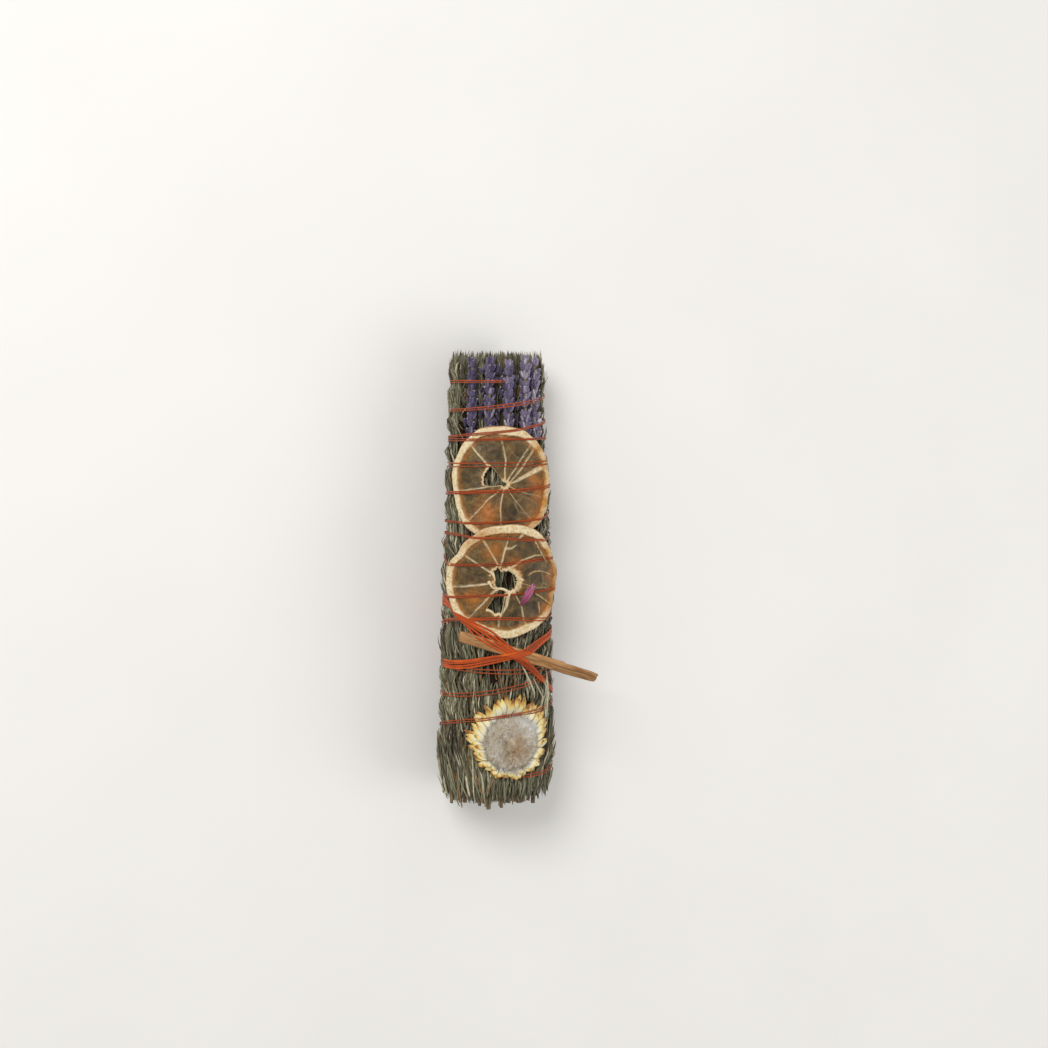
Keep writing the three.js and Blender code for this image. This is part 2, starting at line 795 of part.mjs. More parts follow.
// The section inside one turn of a strand, seen along the bundle: the bundle's outline and every
// point of the dressing that the strand passes over, as a hull round the bundle's axis.
function sectionHull(cover, angle, placeAt, reach) {
  const y = placeAt(angle);
  const points = [];
  for (let i = 0; i < 48; i++) {
    const point = onBundle((i / 48) * turn, y, bundleRadius(y));
    points.push(new THREE.Vector2(point.x, point.z - axisHeight(y)));
  }
  for (const point of cover) {
    const height = point.z - axisHeight(y);
    const apart = signedAngle(Math.atan2(point.x, height) - angle);
    if (Math.abs(placeAt(angle + apart) - point.y) < reach) points.push(new THREE.Vector2(point.x, height));
  }
  return convexHull(points);
}

function hullRadius(hull, angle) {
  const ray = new THREE.Vector2(Math.sin(angle), bundle.flattening * Math.cos(angle));
  let radius = 0;
  hull.forEach((a, i) => {
    const edge = hull[(i + 1) % hull.length].clone().sub(a);
    const across = ray.cross(edge);
    if (Math.abs(across) < 1e-9) return;
    const along = a.cross(edge) / across;
    const share = a.cross(ray) / across;
    if (along > 0 && share > -1e-6 && share < 1 + 1e-6) radius = Math.max(radius, along);
  });
  return radius;
}

// The radius of a strand that is drawn tight, far enough out that its straight steps stay clear.
function tautRadius(cover, angle, placeAt, halfStep, reach) {
  const hull = sectionHull(cover, angle, placeAt, reach);
  const radii = [-1, -0.5, 0, 0.5, 1].map((share) => hullRadius(hull, angle + share * halfStep));
  return Math.max(...radii) / Math.cos(halfStep) + 1.5 * gap / bundle.flattening;
}

// One strand through angles from first to last, its flat side on what it binds.
function strand(cover, placeAt, angles, width, height, looped) {
  const halfStep = (angles[1] - angles[0]) / 2;
  const centres = angles.map((angle) => {
    return onBundle(angle, placeAt(angle), tautRadius(cover, angle, placeAt, halfStep, width + 1));
  });
  const rings = centres.map((centre, i) => {
    const count = centres.length;
    const before = centres[looped ? (i + count - 1) % count : Math.max(i - 1, 0)];
    const after = centres[looped ? (i + 1) % count : Math.min(i + 1, count - 1)];
    const along = after.clone().sub(before).normalize();
    const side = along.clone().cross(outward(angles[i])).normalize();
    const up = side.clone().cross(along).normalize();
    return [
      moved(centre, [side, -width / 2]),
      moved(centre, [side, width / 2]),
      moved(centre, [up, height]),
    ];
  });
  return skin(rings, looped);
}

function bindingThread(cover, stickCover) {
  const steps = (winding.length - 1) * thread.stepsPerTurn;
  const windingAngles = Array.from({ length: steps + 1 }, (_, i) => (i / thread.stepsPerTurn) * turn);
  const loopAngles = Array.from({ length: thread.stepsPerLoop }, (_, i) => (i / thread.stepsPerLoop) * turn);
  const pieces = [strand(cover, windingPlace, windingAngles, thread.width, thread.height, false)];
  for (const loop of tieLoops) {
    const placeAt = (angle) => loopPlace(loop, angle);
    const bound = [...cover, ...stickCover];
    pieces.push(strand(bound, placeAt, loopAngles, thread.tieWidth, thread.tieHeight, true));
  }
  return fuse(pieces);
}

// The whole object

function finish(color, roughness) {
  return new THREE.MeshStandardMaterial({ color, roughness, metalness: 0 });
}

const finishes = {
  rosemary: finish(0x5e6450, 0.85),
  lavender: finish(0x4b3f8a, 0.9),
  citrus: finish(0xb98a4a, 0.7),
  wood: finish(0xc79a66, 0.75),
  bract: finish(0xe8d58c, 0.6),
  fluff: finish(0xa89c84, 1),
  thread: finish(0xb0502a, 0.6),
  petal: finish(0x8e4a78, 0.7),
  stalk: finish(0xc7a676, 0.8),
};

const wand = new THREE.Group();

function add(name, geometry, material) {
  const mesh = new THREE.Mesh(geometry, material);
  mesh.name = name;
  wand.add(mesh);
  return geometry;
}

for (let i = 0; i < rosemary.sprigs; i++) add(`rosemary_sprig_${i + 1}`, rosemarySprig(i), finishes.rosemary);
for (let i = 0; i < lavender.spikes; i++) add(`lavender_spike_${i + 1}`, lavenderSpike(i), finishes.lavender);

const stickBody = add('wood_stick', woodStick(), finishes.wood);
const dressing = [
  add('citrus_slice_upper', citrusSlice(upperSlice), finishes.citrus),
  add('citrus_slice_lower', citrusSlice(lowerSlice), finishes.citrus),
  add('strawflower_bracts', strawflowerBracts(), finishes.bract),
  add('strawflower_head', strawflowerHead(), finishes.fluff),
  ...stalks.map((stalk, i) => add(`dry_stalk_${i + 1}`, dryStalk(stalk), finishes.stalk)),
];

add('petal', petal(), finishes.petal);

// The tie presses on the stick only over the bundle, not out at the stick's ends.
const stickCover = coverPoints([stickBody]).filter((point) => Math.abs(point.x) < 22);
add('binding_thread', bindingThread(coverPoints(dressing), stickCover), finishes.thread);

export default wand;
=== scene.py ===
import bpy
import math
import numpy as np
from mathutils import Matrix, Vector, noise
from mathutils.bvhtree import BVHTree


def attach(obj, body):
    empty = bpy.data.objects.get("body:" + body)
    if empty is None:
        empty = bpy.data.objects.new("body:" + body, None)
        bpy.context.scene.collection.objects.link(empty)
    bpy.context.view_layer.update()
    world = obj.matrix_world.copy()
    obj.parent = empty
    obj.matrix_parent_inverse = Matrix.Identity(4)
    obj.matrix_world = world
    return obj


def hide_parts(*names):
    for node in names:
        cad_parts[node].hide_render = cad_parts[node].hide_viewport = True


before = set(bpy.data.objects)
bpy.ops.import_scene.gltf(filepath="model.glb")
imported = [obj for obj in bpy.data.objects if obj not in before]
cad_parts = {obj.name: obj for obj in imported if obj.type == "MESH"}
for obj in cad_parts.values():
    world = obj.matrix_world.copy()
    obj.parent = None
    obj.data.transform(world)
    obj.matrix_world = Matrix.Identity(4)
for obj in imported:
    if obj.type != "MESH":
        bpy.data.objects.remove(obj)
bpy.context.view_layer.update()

mm = 0.001
turn = 2 * math.pi
goldenTurn = 0.381966 * turn

# Camera, floor and light

camera = {
    "place": (-0.28384, 0.12760, 0.86951),
    "right": (0.943591, 0.013365, 0.330843),
    "up": (0.025405, 0.993317, -0.112585),
    "lens": 63.74,
}

studio = {
    "floorSize": 6.0,
    "floorColor": "#F4F2EF",
    "worldColor": "#F5F4F1",
    "worldStrength": 0.55,
    "softboxes": [  # name, place and width in metres, power in watts
        ("keyLight", (-0.75, 0.75, 1.15), 0.7, 13.0),
        ("fillLight", (1.0, -0.3, 0.9), 0.9, 4.0),
    ],
}


def selectNothing():
    if bpy.context.mode != "OBJECT":
        bpy.ops.object.mode_set(mode="OBJECT")
    bpy.ops.object.select_all(action="DESELECT")


def hexColor(code):
    # sRGB hex to the linear colour that the nodes take
    channels = [int(code[i:i + 2], 16) / 255 for i in (1, 3, 5)]
    linear = [c / 12.92 if c <= 0.04045 else ((c + 0.055) / 1.055) ** 2.4 for c in channels]
    return (*linear, 1.0)


def setInputs(node, inputs):
    # Each input takes a value, or a link from (node, output)
    for name, value in inputs.items():
        if isinstance(value, tuple) and isinstance(value[0], bpy.types.Node):
            node.id_data.links.new(value[0].outputs[value[1]], node.inputs[name])
        else:
            node.inputs[name].default_value = value


def addNode(tree, kind, inputs=None, stops=(), **settings):
    # A node with its settings, its inputs and the stops of its colour ramp
    node = tree.nodes.new("ShaderNode" + kind)
    for name, value in settings.items():
        setattr(node, name, value)
    if stops:
        elements = node.color_ramp.elements
        while len(elements) < len(stops):
            elements.new(0.5)
        for element, (place, color) in zip(elements, stops):
            element.position = place
            element.color = hexColor(color)
    setInputs(node, inputs or {})
    return node


def newMaterial(name, shaderValues):
    material = bpy.data.materials.new(name)
    material.use_nodes = True
    shader = material.node_tree.nodes["Principled BSDF"]
    setInputs(shader, shaderValues)
    return material, material.node_tree, shader


def perMetre(size):
    # The scale of a pattern whose features are this many millimetres
    return 1 / (size * mm)


selectNothing()
bpy.ops.object.camera_add()
photoCamera = bpy.context.object
photoCamera.name = "photoCamera"
photoCamera.data.lens = camera["lens"]
photoCamera.data.sensor_width = 36
photoCamera.data.clip_start = 0.01
rightward, upward = Vector(camera["right"]), Vector(camera["up"])
backward = rightward.cross(upward)
photoCamera.matrix_world = Matrix.Translation(camera["place"]) @ Matrix(
    (rightward, upward, backward)
).transposed().to_4x4()
bpy.context.scene.camera = photoCamera

# Painted board: an even pale ground with the faintest mottling
floorPaint, tree, shader = newMaterial("paintedBoard", {"Roughness": 0.75, "Specular IOR Level": 0.2})
coordinates = addNode(tree, "TexCoord")
mottle = addNode(tree, "TexNoise", {"Vector": (coordinates, "Object"), "Scale": 9.0})
paint = addNode(
    tree, "ValToRGB", {"Fac": (mottle, "Fac")},
    stops=[(0.3, "#F1EFEC"), (0.7, studio["floorColor"])],
)
setInputs(shader, {"Base Color": (paint, "Color")})
bpy.ops.mesh.primitive_plane_add(size=studio["floorSize"])
floor = bpy.context.object
floor.name = "floor"
floor.data.materials.append(floorPaint)
for name, place, width, power in studio["softboxes"]:
    bpy.ops.object.light_add(type="AREA", location=place)
    light = bpy.context.object
    light.name = name
    light.data.shape = "DISK"
    light.data.size = width
    light.data.energy = power
    light.rotation_euler = (-Vector(place)).to_track_quat("-Z", "Y").to_euler()
world = bpy.data.worlds.new("studio")
bpy.context.scene.world = world
world.use_nodes = True
setInputs(world.node_tree.nodes["Background"], {
    "Color": hexColor(studio["worldColor"]), "Strength": studio["worldStrength"],
})
bpy.context.scene.view_settings.view_transform = "Standard"
print("stage: camera, floor and light stand")

# The bundle, in millimetres: round about an axis along Y, its dressed front up

bundle = {
    "girthPlaces": [-75, 20, 85],
    "girth": [28.2, 26, 23.2],  # half width at those places
    "flattening": 0.9,
    "underside": 1.8,
    "foliageStart": -102,
    "foliageEnd": 97,
    "stemStart": -111,
    "tipsEnd": 109,
}

# Each crossing of the front line: place along Y, slope, swing towards the tips at the back
winding = np.array([
    [-93.5, -0.08, 0], [-63.7, 0.1, 0], [-51, 0.2, 0], [-43.3, -0.03, -4], [-17.5, -0.1, 0],
    [-5.5, 0.02, 8], [9.5, 0.1, -2], [20.7, -0.1, 2], [28.6, 0.04, 0], [43.2, 0.04, 0],
    [55.4, 0, 0], [67.2, 0, -2], [71.4, 0.12, 0], [83, 0.12, 0], [94, 0, 0],
])
tieLoops = [{"place": -34.5, "swing": -23}, {"place": -34.2, "swing": 7.5}]

lavender = {"spikes": 5, "spacing": math.radians(28), "reach": 4.05, "start": 63}
upperSlice = {"centre": (-4.3, 46), "halfWidth": 25, "halfHeight": 27.8, "bendRadius": 29}
lowerSlice = {"centre": (-4.6, 0.6), "halfWidth": 27.6, "halfHeight": 27.2, "bendRadius": 48}
stick = {"centre": (7, -35.8), "slope": -0.338, "length": 74, "width": 5.7, "thickness": 3.4}
flower = {"centre": (-0.7, -77.6), "radius": 14.4, "drop": 1.6, "recess": 7.6}


def bundleRadius(y):
    return np.interp(y, bundle["girthPlaces"], bundle["girth"])


def axisHeight(y):
    return bundle["underside"] + bundle["flattening"] * bundleRadius(y)


def topHeight(y):
    return axisHeight(y) + bundle["flattening"] * bundleRadius(y)


def onBundle(angle, y, radius):
    # The point at an angle from the front line, a place along Y and a distance from the axis
    return np.stack([
        radius * np.sin(angle),
        y + 0 * angle,
        axisHeight(y) + bundle["flattening"] * radius * np.cos(angle),
    ], axis=-1)


def smoothStep(start, end, value):
    share = np.clip((value - start) / (end - start), 0, 1)
    return share * share * (3 - 2 * share)


def signedAngle(angle):
    return np.mod(angle + math.pi, turn) - math.pi


def rosemaryLimit(angle, y):
    # How far out rosemary reaches: it leaves room for the lavender and for the flower's back
    full = bundleRadius(y)
    side = np.abs(signedAngle(angle))
    spikeAngle = lavender["spacing"] * (lavender["spikes"] - 1) / 2
    underLavender = smoothStep(lavender["start"] - 7, lavender["start"] - 1, y)
    underLavender = underLavender * (1 - smoothStep(spikeAngle + 0.27, spikeAngle + 0.36, side))
    across = signedAngle(angle) * full - flower["centre"][0]
    fromFlower = np.hypot(across, y - flower["centre"][1])
    underFlower = 1 - smoothStep(flower["radius"] + 1, flower["radius"] + 4, fromFlower)
    return full - (2 * lavender["reach"] + 0.6) * underLavender - flower["recess"] * underFlower


def windingPlace(angle):
    # A smooth line round the bundle that meets every crossing at its slope
    turns = np.clip(angle / turn, 0, len(winding) - 1)
    i = np.minimum(turns.astype(int), len(winding) - 2)
    t = turns - i
    y0, slope0, swing = winding[i, 0], winding[i, 1], winding[i, 2]
    y1, slope1 = winding[i + 1, 0], winding[i + 1, 1]
    run = turn * bundle["girth"][1]
    t2, t3 = t * t, t * t * t
    place = y0 * (2 * t3 - 3 * t2 + 1) + y1 * (3 * t2 - 2 * t3)
    place = place + run * (slope0 * (t3 - 2 * t2 + t) + slope1 * (t3 - t2))
    return place + swing * np.sin(math.pi * t) ** 2


def threadDistance(angle, y):
    # How far along Y the nearest thread passes
    first = np.mod(angle, turn)
    nearest = np.full(np.shape(y), 99.0)
    for i in range(len(winding) - 1):
        nearest = np.minimum(nearest, np.abs(windingPlace(first + i * turn) - y))
    for loop in tieLoops:
        nearest = np.minimum(nearest, np.abs(loop["place"] + loop["swing"] * np.sin(angle) - y))
    return nearest


def underDressing(angle, y):
    # 1 under a citrus slice or the stick, 0 where the needles lie open
    across = signedAngle(angle) * bundleRadius(y)
    covered = np.zeros(np.shape(y))
    for piece in (upperSlice, lowerSlice):
        reach = np.hypot(
            (across - piece["centre"][0]) / piece["halfWidth"],
            (y - piece["centre"][1]) / piece["halfHeight"],
        )
        covered = np.maximum(covered, 1 - smoothStep(1.0, 1.1, reach))
    line = stick["centre"][1] + stick["slope"] * (across - stick["centre"][0])
    nearStick = (1 - smoothStep(3.4, 5, np.abs(y - line))) * (np.abs(across) < 26)
    return np.maximum(covered, nearStick)


# Making meshes

def column(values):
    return np.asarray(values)[:, None]


def unit(vectors):
    return vectors / column(np.linalg.norm(vectors, axis=1))


def bell(distance, width):
    # 1 in the middle, a third at this width and almost nothing at twice the width
    return np.exp(-(distance / width) ** 2)


def readPoints(mesh):
    points = np.empty(len(mesh.vertices) * 3)
    mesh.vertices.foreach_get("co", points)
    return points.reshape(-1, 3)


def writePoints(mesh, points):
    mesh.vertices.foreach_set("co", np.ascontiguousarray(points, np.float32).ravel())
    mesh.update()


def cornerVertices(mesh):
    vertices = np.empty(len(mesh.loops), np.int32)
    mesh.loops.foreach_get("vertex_index", vertices)
    return vertices


def writeUv(mesh, uv):
    # One pair for each corner of each face
    layer = mesh.uv_layers[0] if mesh.uv_layers else mesh.uv_layers.new(name="UVMap")
    layer.name = "UVMap"
    layer.data.foreach_set("uv", np.ascontiguousarray(uv, np.float32).ravel())


def setAttribute(mesh, name, values):
    # One value for each point, or one for all of them
    attribute = mesh.attributes.get(name) or mesh.attributes.new(name, "FLOAT", "POINT")
    values = values + np.zeros(len(mesh.vertices))
    attribute.data.foreach_set("value", values.astype(np.float32))


def smoothFaces(mesh):
    mesh.polygons.foreach_set("use_smooth", np.ones(len(mesh.polygons), bool))


def addObject(mesh):
    made = bpy.data.objects.new(mesh.name, mesh)
    bpy.context.collection.objects.link(made)
    return made


def editAll(piece):
    # Edit mode on this piece alone, with all of it selected
    selectNothing()
    piece.select_set(True)
    bpy.context.view_layer.objects.active = piece
    bpy.ops.object.mode_set(mode="EDIT")
    bpy.ops.mesh.select_all(action="SELECT")


def makeOutward(piece):
    editAll(piece)
    bpy.ops.mesh.normals_make_consistent(inside=False)
    bpy.ops.object.mode_set(mode="OBJECT")


def growShape(sides, rings, pointed=True):
    # Extrudes a round face up through rings of (height, half width, half thickness)
    selectNothing()
    height, width, thickness = rings[0]
    bpy.ops.mesh.primitive_circle_add(
        vertices=sides, radius=1, fill_type="NGON", location=(0, 0, height)
    )
    grown = bpy.context.object
    bpy.ops.object.transform_apply()
    editAll(grown)
    bpy.ops.transform.resize(value=(width, thickness, 1), center_override=(0, 0, height))
    for (h0, w0, t0), (h1, w1, t1) in zip(rings, rings[1:]):
        bpy.ops.mesh.extrude_region_move(TRANSFORM_OT_translate={"value": (0, 0, h1 - h0)})
        bpy.ops.transform.resize(value=(w1 / w0, t1 / t0, 1), center_override=(0, 0, h1))
    if pointed:
        bpy.ops.mesh.merge(type="CENTER")
    makeOutward(grown)
    return grown


def takeTemplate(source):
    # Keeps a modelled shape as arrays and removes its object
    mesh = source.data
    starts = np.empty(len(mesh.polygons), np.int32)
    mesh.polygons.foreach_get("loop_start", starts)
    template = {"points": readPoints(mesh), "loops": cornerVertices(mesh), "starts": starts}
    bpy.data.objects.remove(source, do_unlink=True)
    return template


def joinCopies(template, placed, material, attributes, uv=None):
    # One mesh of all the copies: placed is (copies, points, 3) in millimetres
    copies, size = placed.shape[:2]
    number = column(np.arange(copies))
    loops = (template["loops"] + number * size).ravel()
    starts = (template["starts"] + number * len(template["loops"])).ravel()
    mesh = bpy.data.meshes.new("copies")
    mesh.vertices.add(copies * size)
    mesh.vertices.foreach_set("co", (placed * mm).astype(np.float32).ravel())
    mesh.loops.add(len(loops))
    mesh.loops.foreach_set("vertex_index", loops.astype(np.int32))
    mesh.polygons.add(len(starts))
    mesh.polygons.foreach_set("loop_start", starts.astype(np.int32))
    smoothFaces(mesh)
    mesh.update(calc_edges=True)
    mesh.uv_layers.new(name="UVMap")
    if uv is not None:
        writeUv(mesh, np.tile(uv[template["loops"]], (copies, 1)))
    for name, values in attributes.items():
        setAttribute(mesh, name, np.repeat(values, size))
    mesh.materials.append(material)
    return addObject(mesh)


def joinPieces(pieces):
    selectNothing()
    for piece in pieces:
        piece.select_set(True)
    bpy.context.view_layer.objects.active = pieces[0]
    if len(pieces) > 1:
        bpy.ops.object.join()
    return pieces[0]


def layTubes(paths, radii, sides, material, closed=False, flat=1.0, tones=None):
    # Round or flat tubes along paths of millimetre points; UV runs round and along each one
    tubes = []
    around = np.arange(sides) / sides * turn
    steps = ((0, 0), (1, 0), (1, 1), (0, 1))  # round and along, for the corners of a face
    for number, path in enumerate(paths):
        count = len(path)
        along = unit(np.roll(path, -1, 0) - np.roll(path, 1, 0) if closed else np.gradient(path, axis=0))
        out = path - np.stack([0 * path[:, 0], path[:, 1], axisHeight(path[:, 1])], -1)
        out = unit(out - along * column(np.sum(out * along, 1)))
        side = np.cross(along, out)
        radius = radii[number] * np.ones(count)
        ring = column(np.cos(around)) * side[:, None] + flat * column(np.sin(around)) * out[:, None]
        points = (path[:, None] + radius[:, None, None] * ring).reshape(-1, 3)
        rows = count if closed else count - 1
        i, j = np.meshgrid(np.arange(rows), np.arange(sides), indexing="ij")
        faces = np.stack([
            (i + ahead) % count * sides + (j + aside) % sides for aside, ahead in steps
        ], -1).reshape(-1, 4)
        run = np.concatenate([[0], np.cumsum(np.linalg.norm(np.diff(path, axis=0), axis=1))])
        lengths = np.append(run, run[-1] + 1)
        corners = np.stack([
            np.stack([(j + aside) / sides, lengths[i + ahead]], -1) for aside, ahead in steps
        ], 2).reshape(-1, 2)
        ends = [] if closed else [range(sides)[::-1], range((count - 1) * sides, count * sides)]
        mesh = bpy.data.meshes.new("tube")
        mesh.from_pydata(points * mm, [], faces.tolist() + [tuple(end) for end in ends])
        smoothFaces(mesh)
        spare = np.zeros((len(mesh.loops) - len(corners), 2))
        writeUv(mesh, np.vstack([corners, spare]))
        setAttribute(mesh, "tone", 0.5 if tones is None else tones[number])
        mesh.materials.append(material)
        tubes.append(addObject(mesh))
    return joinPieces(tubes)


def standFor(piece, name, slotName, *nodes):
    # The finished piece takes the place of its solid
    piece.name = name
    piece.data.name = name
    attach(piece, "root")
    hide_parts(*nodes)
    return piece


# Rosemary

rosemary = {
    "sprigs": 10,
    "clumps": 128,
    "needlesPerClump": 7,
    "endClumps": 16,
    "length": (11, 24),
    "halfWidth": (0.42, 0.78),
    "thickness": 0.5,
    "depth": 3.4,
    "flare": 1.7,
    "wildShare": 0.14,  # needles that lean three times as far as the rest
    "brownShare": 0.07,
    "tipNeedles": 110,
    "endNeedles": 130,
    "straySprig": 1,
    # Long pale needles that lie loose beside the flower: angle, start, length, drift, bow
    "strays": [
        (0.50, -69, 19, 0.02, 0.09), (0.58, -67, 21, -0.22, 0.12), (0.66, -72, 23, 0.04, 0.05),
        (0.72, -70, 22, -0.07, 0.06), (0.80, -68, 24, 0.03, -0.05), (0.43, -57, 18, -0.3, 0.05),
        (0.86, -63, 20, -0.1, 0.04), (0.62, -62, 15, 0.2, -0.04),
    ],
}
twigs = {
    "sides": 10,
    "length": 24,
    "cuts": (-11.6, -8, -4, 0, 4),  # where the twig gets rings, so its girth can swell and narrow
    "depth": 0.52,  # of the bundle's half width
    "thick": [(0, 1, 1.7), (0.17, 1.42, 1.1), (-0.14, 1.3, 0.9)],  # angle, share of depth, radius
    "thinCount": 13,
}

# Dried rosemary leaf: leathery, grey-green to olive, satin on top, so each needle catches a
# pale streak of light against the dark between the needles
driedLeaf, tree, shader = newMaterial("driedRosemaryLeaf", {"Roughness": 0.5, "Specular IOR Level": 0.45})
tone = addNode(tree, "Attribute", attribute_name="tone")
leafColor = addNode(
    tree, "ValToRGB", {"Fac": (tone, "Fac")},
    stops=[
        (0.0, "#3B3125"), (0.28, "#57503C"), (0.5, "#716F56"), (0.7, "#908E71"), (0.86, "#B4AF92"),
        (0.93, "#C4BA9C"), (1.0, "#8C6842"),
    ],
)
uvMap = addNode(tree, "UVMap", uv_map="UVMap")
across = addNode(tree, "SeparateXYZ", {"Vector": (uvMap, "UV")})
# The groove along the middle is paler, the rolled edges darker
ridge = addNode(tree, "Math", {0: (across, "X"), 1: 0.25}, operation="PINGPONG")
ridgeTone = addNode(tree, "MapRange", {
    "Value": (ridge, "Value"), "From Max": 0.25, "To Min": 0.8, "To Max": 1.25,
})
coordinates = addNode(tree, "TexCoord")
mottle = addNode(tree, "TexNoise", {
    "Vector": (coordinates, "Object"), "Scale": perMetre(1.3), "Detail": 3.0,
})
mottleTone = addNode(tree, "MapRange", {
    "Value": (mottle, "Fac"), "From Min": 0.25, "From Max": 0.75, "To Min": 0.72, "To Max": 1.22,
})
shade = addNode(
    tree, "Math", {0: (ridgeTone, "Result"), 1: (mottleTone, "Result")}, operation="MULTIPLY",
)
leafShaded = addNode(
    tree, "VectorMath", {0: (leafColor, "Color"), "Scale": (shade, "Value")}, operation="SCALE",
)
leafBump = addNode(tree, "Bump", {"Height": (mottle, "Fac"), "Strength": 0.5, "Distance": 0.15 * mm})
setInputs(shader, {"Base Color": (leafShaded, "Vector"), "Normal": (leafBump, "Normal")})

# A dark core packed between the sprigs, painted shade, so the gaps between needles read deep
packedShade, tree, shader = newMaterial("packedCoreShade", {"Roughness": 0.95, "Specular IOR Level": 0.1})
coordinates = addNode(tree, "TexCoord")
stretch = addNode(tree, "Mapping", {"Vector": (coordinates, "Object"), "Scale": (1, 0.12, 1)})
streaks = addNode(tree, "TexNoise", {
    "Vector": (stretch, "Vector"), "Scale": perMetre(1.1), "Detail": 4.0,
})
coreShadeColor = addNode(
    tree, "ValToRGB", {"Fac": (streaks, "Fac")},
    stops=[(0.35, "#1B140E"), (0.55, "#30241A"), (0.75, "#4B3B2A")],
)
setInputs(shader, {"Base Color": (coreShadeColor, "Color")})

# Rosemary twig: thin grey-brown bark that splits lengthwise, pale wood where it was cut
twigBark, tree, shader = newMaterial("rosemaryTwigBark", {"Roughness": 0.85, "Specular IOR Level": 0.2})
coordinates = addNode(tree, "TexCoord")
stretch = addNode(tree, "Mapping", {"Vector": (coordinates, "Object"), "Scale": (1, 0.15, 1)})
fibres = addNode(tree, "TexNoise", {
    "Vector": (stretch, "Vector"), "Scale": perMetre(0.5), "Detail": 5.0,
})
barkColor = addNode(
    tree, "ValToRGB", {"Fac": (fibres, "Fac")},
    stops=[(0.3, "#4A3B2C"), (0.5, "#7A6850"), (0.72, "#A08C6C")],
)
barkBump = addNode(tree, "Bump", {"Height": (fibres, "Fac"), "Strength": 0.8, "Distance": 0.2 * mm})
setInputs(shader, {"Base Color": (barkColor, "Color"), "Normal": (barkBump, "Normal")})

cutWood, tree, shader = newMaterial("freshCutTwigEnd", {"Roughness": 0.8})
coordinates = addNode(tree, "TexCoord")
pores = addNode(tree, "TexNoise", {
    "Vector": (coordinates, "Object"), "Scale": perMetre(0.4), "Detail": 3.0,
})
cutColor = addNode(
    tree, "ValToRGB", {"Fac": (pores, "Fac")},
    stops=[(0.35, "#9C8258"), (0.65, "#D2BE94")],
)
setInputs(shader, {"Base Color": (cutColor, "Color")})

# A needle: five sides, widest at its middle, its upper side pressed flat
needleTemplate = takeTemplate(growShape(5, [
    (0, 0.35, 0.3), (0.2, 0.86, 0.86), (0.5, 1, 1), (0.82, 0.74, 0.74), (1, 0.2, 0.2),
]))
needlePoints = needleTemplate["points"]
needleRound = np.mod(np.arctan2(needlePoints[:, 1], needlePoints[:, 0]) / turn, 1)
needleUv = np.stack([needleRound, needlePoints[:, 2]], -1)


def layNeedles(
    start, length, rootAngle, drift, bow, rootDepth, middleDepth, flare, halfWidth, roll, wave
):
    # Bends copies of the needle along the bundle, all values one for each needle
    u, w, v = needlePoints.T[:, None]
    w = w - 0.35 * (w > 0.7)
    arc = 4 * v * (1 - v)
    y = column(start) + column(length) * v
    angle = column(rootAngle) + column(drift) * v + column(bow) * arc + column(wave) * np.sin(v * 7)
    depth = column(rootDepth) * (1 - v) ** 2 + column(middleDepth) * (1 - (1 - v) ** 2)
    # Threads and slices press the needles down, the free ones stand up towards their tips
    free = smoothStep(1.0, 4.0, threadDistance(angle, y)) * (1 - underDressing(angle, y))
    lift = column(flare) * v ** 3 * free - 0.9 * (1 - free) + 0.7 * free
    beyond = np.maximum(y - bundle["foliageEnd"], 0)
    radius = rosemaryLimit(angle, y) - depth + np.minimum(lift, 2.0) - 0.22 * beyond
    cos, sin = np.cos(column(roll)), np.sin(column(roll))
    sideways = column(halfWidth) * (u * cos - rosemary["thickness"] * w * sin)
    outwards = column(halfWidth) * (u * sin + rosemary["thickness"] * w * cos)
    points = onBundle(angle + sideways / bundleRadius(y), y, radius + outwards)
    points[..., 2] = np.maximum(points[..., 2], 0.02)  # the lowest ones lie flat on the ground
    return points


def joinNeedles(placed, tone):
    return joinCopies(needleTemplate, placed, driedLeaf, {"tone": tone}, needleUv)


